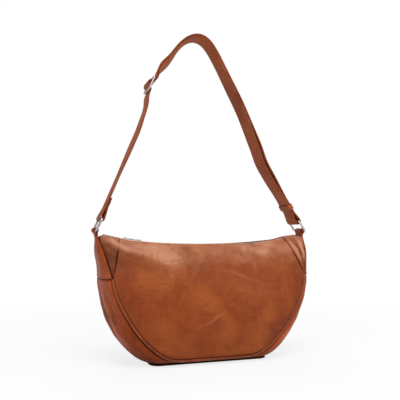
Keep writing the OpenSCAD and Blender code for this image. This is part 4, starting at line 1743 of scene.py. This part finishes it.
@dataclass
class StrapForm:
    """The strap's line in X and Z, from the left ring over the top to the right ring."""

    ring_z: float = 187
    ring_x: float = 161.5
    ring_l: float = 18
    left_ring_lean: float = 25
    right_ring_lean: float = 35
    rise: float = 297
    half: float = 150
    left_lean: float = 23
    right_lean: float = 31.5
    buckle_lean: float = 22.5
    bend_high_z: float = 290
    thick: float = 2.4
    gap: float = 0.4
    weave_low: float = -13
    weave_high: float = 23
    over_x: float = 8.75
    step: float = 1
    tight: int = 5
    easy: int = 11
    loose_buckle: Ramp = Ramp(14, 40)
    loose_ends: Ramp = Ramp(30, 40)
    buckle_share: tuple[float, float] = (-0.535, 0.717)
    left_shares: tuple[tuple[float, float], ...] = (
        (-0.72, 0.421), (-0.665, 0.485), (-0.625, 0.55), (-0.585, 0.61))
    over_shares: tuple[tuple[float, float], ...] = (
        (-0.36, 0.859), (-0.28, 0.922), (-0.188, 0.969), (-0.085, 0.991), (0.012, 0.975),
        (0.09, 0.927), (0.165, 0.862), (0.268, 0.764), (0.395, 0.643), (0.507, 0.519),
        (0.593, 0.421))

    def __post_init__(self) -> None:
        """Lays the whole line and smooths its bends."""
        self.left_high, left_top = self.leg_line(-1, self.left_ring_lean, self.left_lean)
        self.right_high, right_top = self.leg_line(1, self.right_ring_lean, self.right_lean)
        self.buckle = self.spot(self.buckle_share)
        low = self.climb(self.buckle, self.buckle_lean, self.weave_low)
        high = self.climb(self.buckle, self.buckle_lean, self.weave_high)
        left = self.spline([self.climb(left_top, self.left_lean, self.thick),
                            *[self.spot(s) for s in self.left_shares],
                            self.climb(low, self.buckle_lean, -self.thick)],
                           self.left_lean, self.buckle_lean)
        over = self.spline([self.climb(high, self.buckle_lean, self.thick),
                            *[self.spot(s) for s in self.over_shares],
                            self.climb(right_top, -self.right_lean, self.thick)],
                           self.buckle_lean, 180 - self.right_lean)
        line = np.concatenate([[self.left_high, left_top], left, [low, high], over,
                               [right_top, self.right_high]])
        run = run_along(line)
        self.s = np.arange(0, run[-1], self.step)
        dense = read_along(self.s, run, line)
        self.length = float(self.s[-1])
        ends = np.minimum(self.s, self.length - self.s)
        loose = (self.loose_buckle.at(np.abs(self.s - self.nearest(dense)))
                 * self.loose_ends.at(ends))
        self.line = mix(self.eased(dense, self.tight), self.eased(dense, self.easy),
                        loose[:, None])
        self.buckle_s = self.nearest(self.line)

    def leg_line(self, side: int, ring_lean: float, lean: float) -> tuple[Field, Field]:
        """Ends of the straight stretch over a ring.

        Args:
            side: -1 at the left and 1 at the right.
            ring_lean: Lean of the ring.
            lean: Lean of the strap.
        Returns:
            The ring's upper bar and the place where the strap starts to bend.
        """
        high = self.climb((side * self.ring_x, self.ring_z), -side * ring_lean, self.ring_l)
        reach = (self.bend_high_z - high[1]) / math.cos(math.radians(lean))
        return high, self.climb(high, -side * lean, reach)

    def nearest(self, line: Field) -> float:
        """Distance along a line, drawn at the distances in s, that is nearest the buckle."""
        return float(self.s[np.argmin(np.linalg.norm(line - self.buckle, axis=1))])

    @staticmethod
    def eased(line: Field, reach: int) -> Field:
        """The line with its bends eased over a distance.

        Args:
            line: Points a millimetre apart.
            reach: The distance in millimetres.
        Returns:
            The eased points.
        """
        far = 2 * reach
        kernel = np.exp(-(np.arange(-far, far + 1) / reach) ** 2)
        kernel /= kernel.sum()
        longer = np.pad(line, ((far, far), (0, 0)), mode="reflect", reflect_type="odd")
        return np.stack([np.convolve(longer[:, a], kernel, "valid") for a in range(2)], -1)

    @staticmethod
    def climb(p: Sequence[float], lean: float, s: float) -> Field:
        """The point at a distance up a line that leans from the vertical.

        Args:
            p: Start.
            lean: Lean in degrees.
            s: Distance.
        Returns:
            X and Z.
        """
        a = math.radians(lean)
        return np.array([p[0] + s * math.sin(a), p[1] + s * math.cos(a)])

    def spot(self, share: Sequence[float]) -> Field:
        """A place given as shares of the strap's reach and rise."""
        return np.array([share[0] * self.half, self.ring_z + share[1] * self.rise])

    def spline(self, points: Sequence[Field], lean_in: float, lean_out: float) -> Field:
        """Smooth line through points that starts and ends along given leans.

        Args:
            points: The points.
            lean_in: Lean at its start.
            lean_out: Lean at its end.
        Returns:
            Its points.
        """
        p = list(points)
        first = self.climb(p[1], lean_in, -2 * float(np.linalg.norm(p[1] - p[0])))
        last = self.climb(p[-2], lean_out, 2 * float(np.linalg.norm(p[-1] - p[-2])))
        chain = [first, *p, last]
        k = np.linspace(0, 1, 8, endpoint=False)[:, None]
        made = []
        for i in range(1, len(chain) - 2):
            a, b, c, d = chain[i - 1:i + 3]
            made.append((2 * b + (c - a) * k + (2 * a - 5 * b + 4 * c - d) * k ** 2
                         + (3 * b - a - 3 * c + d) * k ** 3) / 2)
        return np.concatenate([*made, [p[-1]]])

    def at(self, s: Field, offset: Field | float = 0.0) -> Field:
        """Points beside the line.

        Args:
            s: Distances along the line.
            offset: Distances to its outer side.
        Returns:
            X and Z.
        """
        d = unit(read_along(s, self.s, unit(np.gradient(self.line, axis=0))))
        out = np.stack([-d[:, 1], d[:, 0]], -1)
        return read_along(s, self.s, self.line) + out * np.broadcast_to(offset, s.shape)[:, None]

    def metres(self, s: float) -> Place:
        x, z = self.at(np.array([s]))[0] * MM
        return x, 0, z

    @property
    def leg(self) -> float:
        """Distance of a layer's middle from the strap's line."""
        return (self.thick + self.gap) / 2


STRAP = StrapForm()


@dataclass(frozen=True)
class Strip:
    """A leather strip swept along a line in X and Z."""

    width: float
    thick: float
    seed: float
    margin: tuple[tuple[float, float, float], ...] = (
        (0, 0, 0), (0.2, 0.62, 0), (0.75, 0.95, 0), (1.9, 1, 0), (2.5, 1, -0.16), (3.1, 1, 0))
    crown: tuple[tuple[float, float], ...] = ((0.4, 0.05), (0, 0.07))
    waves: Waves = Waves(16, 0.16)
    pale_waves: Waves = Waves(24, 0.3, 2)
    rim: float = 1
    edge: Rib = Rib(0, 0.7, 1)
    crease: Rib = Rib(2.5, 0.4, 1)
    beside: Rib = Rib(1.3, 0.7, 1)

    def section(self) -> Field:
        """The strip's section: rounded edges and a line creased along each of them.

        Returns:
            Points across and through, in order round the section.
        """
        w, t = self.width / 2, self.thick / 2
        half = [(inset - w, share * t + rise) for inset, share, rise in self.margin]
        half += [(-share * w, t + rise) for share, rise in self.crown]
        upper = half + [(-x, z) for x, z in reversed(half[:-1])]
        return np.array(upper + [(x, -z) for x, z in reversed(upper[1:-1])])

    def sweep(self, line: Field, twist: Field | float = 0.0, thin: Field | float = 1.0) -> Mesh:
        """Sweeps the strip's section.

        Args:
            line: The line's points, in X and Z.
            twist: Turn of the strip about its line, in degrees.
            thin: Share of its thickness that is left.
        Returns:
            The mesh, with its edges painted darker.
        """
        n = len(line)
        section = self.section()
        d = unit(np.gradient(line, axis=0))
        centre = np.column_stack([line[:, 0], np.zeros(n), line[:, 1]])
        out = np.column_stack([-d[:, 1], np.zeros(n), d[:, 0]])
        across = np.array([[0.0, 1.0, 0.0]])
        a = np.radians(np.broadcast_to(twist, n))[:, None]
        u = across * np.cos(a) + out * np.sin(a)
        v = out * np.cos(a) - across * np.sin(a)
        deep = section[:, 1] * np.broadcast_to(thin, n)[:, None]
        rings = centre[:, None] + section[:, 0, None] * u[:, None] + deep[..., None] * v[:, None]
        inward = self.width / 2 - np.abs(section[:, 0])
        wave = self.waves.lift(rings, self.seed) * (inward > self.rim)
        rings = rings + v[:, None] * wave[..., None]
        mesh = tube(rings)
        paleness = held(0.16 + self.pale_waves.lift(rings, self.seed))
        edge, crease, beside = (rib.lift(inward) for rib in (self.edge, self.crease, self.beside))
        mesh.paint["shade"] = np.tile(held(0.4 * edge + 0.45 * crease), n)
        mesh.paint["pale"] = (paleness * (0.6 + 0.5 * edge + 0.8 * beside)).ravel()
        return mesh


def bar_loop(leg: float, r: float, close: float, low: float, high: float, step: float = 0.5
             ) -> Field:
    """Line of a loop round a bar at the origin, down one leg and up the other.

    Args:
        leg: Distance of the closed legs from the middle.
        r: Radius round the bar.
        close: Height where the legs meet.
        low: Height where the line starts, on the left leg.
        high: Height where it ends, on the right leg.
        step: Distance from point to point.
    Returns:
        The points.
    """
    k = np.linspace(0, 1, 24)
    half = np.column_stack([mix(r, leg, smooth(k)), close * k])
    q = np.radians(np.linspace(0, 180, 32))[1:-1]
    parts = [half[::-1] * np.array([-1, 1]), np.column_stack([-r * np.cos(q), -r * np.sin(q)]),
             half]
    if low > close:
        parts.insert(0, np.array([[-leg, low]]))
    if high > close:
        parts.append(np.array([[leg, high]]))
    points = np.concatenate(parts)
    run = run_along(points)
    return read_along(np.linspace(0, run[-1], int(run[-1] / step) + 1), run, points)


def stand(points: Field, p: Sequence[float], lean: float) -> Field:
    """Turns points by a lean and puts them at a place, in X and Z.

    Args:
        points: Points about the origin.
        p: The place.
        lean: Lean in degrees.
    Returns:
        The moved points.
    """
    a = math.radians(lean)
    return np.column_stack([p[0] + points[:, 0] * math.cos(a) + points[:, 1] * math.sin(a),
                            p[1] - points[:, 0] * math.sin(a) + points[:, 1] * math.cos(a)])


@dataclass
class Strap:
    """The strap: one strand on the left, the weave in the buckle and the long doubled strand."""

    form: StrapForm = field(default_factory=lambda: STRAP)
    width: float = 30
    thick: float = 2.2
    left_split: float = -30
    right_split: float = 45
    left_seed: float = 51
    woven_seed: float = 61
    end_seed: float = 63
    long_seed: float = 71
    bend: tuple[float, float] = (0.250, 0.300)
    twist_degrees: tuple[float, ...] = (4, -14, -3)
    twist_ramps: tuple[tuple[Ramp, Ramp], ...] = (
        (Ramp(60, 60), Ramp(35, 50)), (Ramp(12, 26), Ramp(0, 90)), (Ramp(0, 60), Ramp(40, 60)))
    twist_shares: tuple[float, float] = (0.5, 0.58)
    spread_most: float = 1.7
    spread_ramps: tuple[Ramp, Ramp] = (Ramp(-190, 60), Ramp(42, 40))
    outer_share: float = 0.35
    loop_close: float = 19
    ring_start: float = 20
    left_bar_r: float = 1.95
    right_bar_r: float = 2.75
    overlap: float = 33
    pared_share: float = 0.22
    pared: Ramp = Ramp(0, 22)
    row_half: float = 11.5
    row_heights: tuple[float, float] = (21, 31)
    row_ends: float = 11
    row_out: float = 1.15
    row_pitch: float = 3.4
    row_stitch: float = 2.5
    weave_ramp: Ramp = Ramp(0.8, 8.9)
    buckle_half: float = 12
    end_stop: float = 10.5
    end_pared: float = 15
    end_share: float = 0.77
    end_inset: float = 0.3
    eye_x: float = -4.3
    eye_r: float = 2.25
    keeper_clear: float = 1
    keeper_corner: float = 2
    keeper_s: float = 26
    keeper_section: tuple[tuple[float, float, float, float], ...] = (
        (-4.5, 0.0, 0.8, 0), (-4.2, 0.5, 0.4, 0.1), (-3.4, 0.7, 0.2, 0.3), (0.0, 0.85, 0, 0.15),
        (3.4, 0.7, 0.2, 0.3), (4.2, 0.5, 0.4, 0.1), (4.5, 0.0, 0.8, 0), (4.2, -0.5, 0.6, 0),
        (0.0, -0.6, 0.6, 0), (-4.2, -0.5, 0.6, 0))

    def twist(self, s: Field) -> Field:
        """Turn of the strap along its line, in degrees."""
        far, buckle = self.form.length, self.form.buckle_s
        first, second = self.twist_shares
        ends = ((s, buckle - s), (s - buckle, first * far - s), (s - second * far, far - s))
        return sum(degrees * up.at(start) * down.at(end) for degrees, (up, down), (start, end)
                   in zip(self.twist_degrees, self.twist_ramps, ends))

    def spread(self, s: Field) -> Field:
        """How far the two layers stand apart on the right, past their gap."""
        past = s - self.form.length
        up, down = self.spread_ramps
        return self.spread_most * up.at(past) * down.at(-past)

    def strip(self, seed: float) -> Strip:
        """The strap's strip, with a seed for its unevenness."""
        return Strip(self.width, self.thick, seed)

    def bending(self, name: str, mesh: Mesh, *nodes: str) -> None:
        """Makes a strand that runs from the strap's ends to its upper part, and bakes it in place.

        Args:
            name: Its name.
            mesh: Its mesh.
            nodes: The nodes that it stands for.
        """
        made = mesh.piece(name, Finish.STRAP)
        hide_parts(*nodes)
        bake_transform(made)

    def left_strand(self) -> None:
        """From the sewn overlap round the left ring and up to the buckle."""
        f = self.form
        loop = bar_loop(f.leg, self.left_bar_r + f.thick / 2, self.loop_close, self.loop_close,
                        self.overlap)
        loop = stand(loop, f.left_high, f.left_lean)[::-1]
        s = np.linspace(self.ring_start, f.buckle_s + self.left_split, 100)
        line = np.concatenate([loop, f.at(s, f.leg)])
        thin = mix(self.pared_share, 1.0, self.pared.at(run_along(line)))
        turn = np.concatenate([np.zeros(len(loop)), self.twist(s)])
        self.bending("strap_left_strand", self.strip(self.left_seed).sweep(line, turn, thin),
                     "strap_left_end", "strap_left_run")
        low, high = self.row_heights
        up = np.arange(low, high + 1)
        across = np.linspace(-self.row_ends, self.row_ends, 23)
        lines = [(np.full(len(up), y), up) for y in (-self.row_half, self.row_half)]
        lines += [(across, np.full(len(across), z)) for z in (low, high)]
        a = math.radians(f.left_lean)
        rows = []
        for y, z in lines:
            p = stand(np.column_stack([np.full(len(z), f.leg + self.row_out), z]), f.left_high,
                      f.left_lean)
            out = np.tile([math.cos(a), 0, -math.sin(a)], (len(z), 1))
            rows.append(stitches(np.column_stack([p[:, 0], y, p[:, 1]]), out, self.row_pitch,
                                 self.row_stitch))
        Mesh.joined(rows).place("strap_end_stitching", Finish.THREAD, "strap_ends")

    def woven(self, s: Field) -> Field:
        """The running layer at distances up the strap from the buckle's middle."""
        f = self.form
        return f.at(f.buckle_s + s, mix(f.over_x, f.leg, self.weave_ramp.at(np.abs(s))))

    def weave(self) -> None:
        """The running layer in the buckle and the pared end round its middle bar."""
        f = self.form
        strip = self.strip(self.woven_seed)
        low = strip.sweep(self.woven(np.linspace(self.left_split, 0.0, 40)))
        made = low.piece("strap_weave_low", Finish.STRAP)
        f.metres(f.buckle_s + self.left_split)
        f.metres(f.buckle_s - self.buckle_half)
        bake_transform(made)
        up = np.linspace(0.0, self.right_split, 60)
        runner = strip.sweep(self.woven(up), self.twist(f.buckle_s + up))
        down = np.linspace(self.right_split, self.end_stop, 24)
        pared = smooth((self.right_split - down) / self.end_pared)
        q = np.radians(np.linspace(-20, 200, 30))
        eye = np.column_stack([self.eye_x + self.eye_r * np.cos(q), -self.eye_r * np.sin(q)])
        line = np.concatenate([f.at(f.buckle_s + down, self.end_inset * pared - f.leg),
                               stand(eye, f.buckle, f.buckle_lean)])
        thin = np.concatenate([mix(1.0, self.end_share, pared),
                               np.full(len(eye), self.end_share)])
        turn = np.concatenate([-self.twist(f.buckle_s + down), np.zeros(len(eye))])
        end = self.strip(self.end_seed).sweep(line, turn, thin)
        made = Mesh.joined([runner, end]).piece("strap_weave_high", Finish.STRAP)
        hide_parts("strap_weave")
        f.metres(f.buckle_s + self.buckle_half)
        f.metres(f.buckle_s + self.right_split)
        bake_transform(made)

    def long_strand(self) -> None:
        """The outer layer, the loop round the right ring and the inner layer, in one."""
        f = self.form
        s = np.linspace(f.buckle_s + self.right_split, f.length - self.ring_start, 260)
        loop = bar_loop(f.leg, self.right_bar_r + f.thick / 2, self.loop_close, self.ring_start,
                        self.ring_start)
        line = np.concatenate([f.at(s, f.leg + self.outer_share * self.spread(s)),
                               stand(loop, f.right_high, -f.right_lean)[::-1],
                               f.at(s, -f.leg - self.spread(s))[::-1]])
        turn = np.concatenate([self.twist(s), np.zeros(len(loop)), -self.twist(s)[::-1]])
        self.bending("strap_long_strand", self.strip(self.long_seed).sweep(line, turn),
                     "strap_right_loop", "strap_outer_layer", "strap_inner_layer", "strap_bends")

    def keeper(self) -> None:
        """The band round both layers."""
        f = self.form
        corner = self.keeper_corner
        loop = rounded_loop(f.leg + f.thick / 2 + self.keeper_clear - corner,
                            self.width / 2 + self.keeper_clear - corner, corner, 8)
        around = unit(np.roll(loop, -1, 0) - np.roll(loop, 1, 0))
        out = np.column_stack([around[:, 1], -around[:, 0]])
        along, through, shade, pale = np.array(self.keeper_section).T
        ring = loop[:, None] + out[:, None] * through[:, None]
        up = np.tile(along, len(loop))
        placed = stand(np.column_stack([ring[..., 0].ravel(), up + self.keeper_s]), f.right_high,
                       -f.right_lean)
        points = np.column_stack([placed[:, 0], ring[..., 1].ravel(), placed[:, 1]])
        mesh = tube(points.reshape(*ring.shape[:2], 3), closed_path=True)
        mesh.paint = {"shade": np.tile(shade, len(loop)), "pale": np.tile(pale, len(loop))}
        mesh.place("keeper_band", Finish.STRAP, "keeper", "strap_keeper")

    def build(self) -> None:
        """Builds the strap."""
        self.left_strand()
        self.weave()
        self.long_strand()
        self.keeper()


@dataclass
class Tabs:
    """The two tabs that hold the rings on the body's top corners."""

    width: float = 20
    thick: float = 1.8
    lean: float = 12
    leg: float = 1
    legs: float = 8.8
    eye: float = 3.3
    close: float = 5.2
    step: float = 0.4
    seed: float = 81

    def build(self) -> None:
        """Builds both tabs."""
        line = bar_loop(self.leg, self.eye, self.close, self.legs, self.legs, self.step)
        placed = stand(line, (STRAP.ring_x, STRAP.ring_z), self.lean + 180)
        right = Strip(self.width, self.thick, self.seed).sweep(placed)
        for name, mesh in (("right", right), ("left", right.mirrored(0))):
            mesh.place(f"{name}_tab_leather", Finish.GUSSET, "bag", f"{name}_tab")


# The studio, in metres

@dataclass(frozen=True)
class Lamp:
    """A square soft light."""

    name: str
    place: Place
    size: float
    watts: float
    aim: Place

    def build(self) -> None:
        """Hangs the lamp."""
        data = bpy.data.lights.new(self.name, "AREA")
        data.size = self.size
        data.energy = self.watts
        lamp = bpy.data.objects.new(self.name, data)
        bpy.context.scene.collection.objects.link(lamp)
        lamp.location = self.place
        way = Vector(self.aim) - Vector(self.place)
        lamp.rotation_euler = way.to_track_quat("-Z", "Y").to_euler()


@dataclass
class Studio:
    """Floor, lights, world and camera."""

    camera_place: Place = (-0.2657, -0.7913, 0.182)
    camera_turn: Place = (93.5, 0.0, -18.2)
    lens_mm: float = 50
    sensor_mm: float = 36
    floor_size: float = 12
    floor_colour: Colour = (0.86, 0.86, 0.86)
    floor_near: float = 0.25
    floor_far: float = 0.9
    backdrop: float = 1.0
    soft: float = 0.45
    soft_colour: Colour = (1.0, 0.99, 0.98)
    lamps: tuple[Lamp, ...] = (
        Lamp("key", (-0.2, -0.8, 1.55), 0.8, 16, (0, 0, 0.1)),
        Lamp("fill", (1.3, -1.3, 0.9), 1.2, 9, (0, 0, 0.15)),
        Lamp("back", (0.2, 1.3, 1.4), 1.2, 7, (0, 0, 0.15)))

    def floor(self) -> None:
        """The pale floor, which keeps the object's shadow."""
        bpy.ops.mesh.primitive_plane_add(size=self.floor_size)
        floor = bpy.context.object
        floor.name = "studio_floor"
        g = Graph.named("studio_floor")
        camera, through, glossy = (g.add("ShaderNodeLightPath", output=f"Is {kind} Ray")
                                   for kind in ("Camera", "Transmission", "Glossy"))
        matte = g.add("ShaderNodeBsdfDiffuse", {}, {"Color": self.floor_colour})
        glow = g.add("ShaderNodeEmission", {}, {"Color": WHITE, "Strength": 1.0})
        own = g.add("ShaderNodeTexCoord", output="Object")
        far = g.add("ShaderNodeVectorMath", {"operation": "LENGTH"}, {0: own}, output="Value")
        share = 0.80 + far.stretched(self.floor_near, self.floor_far) * 0.2
        both = g.add("ShaderNodeMixShader", {},
                     {0: (camera + through + glossy * 0.35) * share, 1: matte, 2: glow})
        g.add("ShaderNodeOutputMaterial", {}, {"Surface": both})
        floor.data.materials.append(g.owner)

    def world(self) -> None:
        """A white backdrop for what is seen, and a softer light on the object."""
        world = bpy.data.worlds.new("studio")
        bpy.context.scene.world = world
        g = Graph(world)
        soft, seen = (g.add("ShaderNodeBackground", {}, {"Color": colour, "Strength": strength})
                      for colour, strength in ((self.soft_colour, self.soft),
                                               (WHITE, self.backdrop)))
        camera = g.add("ShaderNodeLightPath", output="Is Camera Ray")
        both = g.add("ShaderNodeMixShader", {}, {0: camera, 1: soft, 2: seen})
        g.add("ShaderNodeOutputWorld", {}, {"Surface": both})

    def camera(self) -> None:
        """The camera at the photograph's view."""
        data = bpy.data.cameras.new("view")
        data.lens = self.lens_mm
        data.sensor_width = self.sensor_mm
        camera = bpy.data.objects.new("view", data)
        bpy.context.scene.collection.objects.link(camera)
        camera.location = self.camera_place
        camera.rotation_euler = [math.radians(a) for a in self.camera_turn]
        bpy.context.scene.camera = camera

    def build(self) -> None:
        """Builds the studio."""
        bpy.context.scene.view_settings.view_transform = "Standard"
        self.camera()
        self.floor()
        self.world()
        for lamp in self.lamps:
            lamp.build()


# Where folding and use have left their marks, and where highlights and shade are painted, in X and
# Z

FRONT_MARKS = Marks(
    folds=(
        Fold(((-157, 181), (-146, 175), (-140, 167.5), (-133, 163), (-120, 158), (-90, 151),
              (-70, 147)), 5.5, 5.0),
        Fold(((-146, 162), (-134, 153), (-118, 147), (-92, 140), (-66, 136)), 8.0, -3.0),
        Fold(((-152, 170), (-146, 160), (-143, 146)), 6.0, -2.6),
        Fold(((-96, 164), (-76, 158), (-58, 150), (-40, 142)), 4.0, 1.4),
        Fold(((-82, 152), (-66, 145), (-52, 139)), 3.2, -1.2),
        Fold(((-60, 163), (-52, 154), (-47, 144)), 3.0, 0.9),
        Fold(((-52, 160), (-40, 154), (-30, 146)), 3.0, -0.9),
        Fold(((16, 131), (44, 121), (75, 109)), 3.5, 0.9),
        Fold(((-17, 57), (-2, 66), (12, 72)), 3.2, 0.8),
        Fold(((-18, 148), (-24, 138), (-30, 130)), 4.5, -0.5),
        Fold(((48, 164), (74, 158), (101, 153)), 5.0, 1.2),
        Fold(((-20, 158), (20, 154), (60, 153)), 6.0, -1.2),
        Fold(((133, 172), (138, 158), (141.5, 140)), 2.6, 2.0),
        Fold(((140, 173), (144.5, 158), (146, 138)), 2.2, -2.0),
        Fold(((148, 174), (149, 160), (148, 142)), 2.6, 1.6),
        Fold(((-30, 100), (10, 88), (60, 84)), 12.0, -1.2),
        Fold(((-110, 100), (-96, 70), (-78, 44)), 9.0, 1.2),
    ),
    # Rubbed lines, and painted highlights on the crumpled patch, the shoulder ridge, the top band
    # and the right ridges.
    wear_and_highlights=(
        Fold(((-94, 162), (-72, 154), (-50, 145)), 10.0, 0.75),
        Fold(((-157, 181), (-140, 168), (-120, 158), (-96, 152)), 3.0, 0.45),
        Fold(((14, 131), (32, 127), (52, 117), (76, 110)), 3.2, 0.24),
        Fold(((-24, 54), (-8, 60), (2, 68), (14, 72)), 2.4, 0.32),
        Fold(((24, 82), (46, 94), (62, 98), (88, 106)), 3.6, 0.14),
        Fold(((36, 166), (84, 164), (128, 168)), 13.0, 0.1),
        Fold(((133, 172), (138, 158), (141.5, 140)), 2.2, 0.7),
        Fold(((148, 174), (149, 160), (148, 142)), 2.4, 0.7),
        Fold(((48, 164), (74, 158), (101, 153)), 4.0, 0.22),
    ),
    # Painted shade: the left patch, under the shoulder ridge, the right groove and the lower left.
    shaded_hollows=(
        Fold(((-158, 174), (-150, 158), (-144, 142), (-143, 122)), 13.0, 0.55),
        Fold(((-138, 150), (-118, 144), (-92, 136), (-66, 130)), 11.0, 0.42),
        Fold(((140, 173), (144.5, 158), (146, 138)), 1.6, 0.45),
        Fold(((-120, 110), (-104, 70), (-80, 36)), 14.0, 0.12),
    ),
    # The crumpled patch: real wrinkles, with painted glints.
    crumple=(
        Fold(((-98, 161), (-74, 154), (-50, 144)), 12.0, 1.0),
        Fold(((-46, 150), (-32, 144), (-24, 136)), 8.0, 0.3),
    ),
    dips=(Fold(((50, 172), (74, 172), (98, 172)), 7.0, 2.2),))
BACK_MARKS = Marks(
    folds=(
        Fold(((-140, 168), (-112, 160), (-70, 154), (-30, 152)), 7.0, 2.0),
        Fold(((120, 158), (84, 150), (40, 146)), 8.0, -1.8),
        Fold(((-60, 120), (-20, 110), (30, 112)), 5.0, 1.0),
        Fold(((20, 70), (50, 60), (84, 62)), 6.0, 0.9),
        Fold(((-90, 90), (-70, 66), (-60, 44)), 6.0, -0.9),
        Fold(((-136, 170), (-142, 152)), 3.0, 1.4),
        Fold(((136, 172), (143, 150)), 3.0, 1.4),
    ),
    # Paler lines along fold ridges: wear and painted highlights.
    wear_and_highlights=(
        Fold(((-140, 168), (-112, 160), (-70, 154)), 5.0, 0.45),
        Fold(((-60, 120), (30, 112)), 4.0, 0.25),
    ))


def dress_cad() -> None:
    """Gives the carried-over metal pieces their finish."""
    for node in ("left_ring", "right_ring", "slider_buckle", "zip_stops"):
        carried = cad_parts[node]
        data = carried.data
        data.materials.clear()
        finish = Finish.TEETH if node == "zip_stops" else Finish.HARDWARE
        data.materials.append(finish.material())
        finish.slot
        data.polygons.foreach_set("use_smooth", [node != "zip_stops"] * len(data.polygons))
        log.info("%s: dressed", node)


def main() -> None:
    """Builds the studio and the bag, piece by piece."""
    logging.basicConfig(level=logging.INFO, format="%(message)s")
    Studio().build()
    moves = Drape().run()
    back_moves = None if moves is None else moves[::-1]
    for sub_assembly in (
            BodySide("front", moves, back=False, seed=3.0, marks=FRONT_MARKS),
            BodySide("back", back_moves, back=True, seed=13.0, marks=BACK_MARKS),
            Welt("front", back=False), Welt("back", back=True), Gusset(), Base(), Zip(), Tabs(),
            Strap()):
        sub_assembly.build()
    dress_cad()


if __name__ == "__main__":
    main()
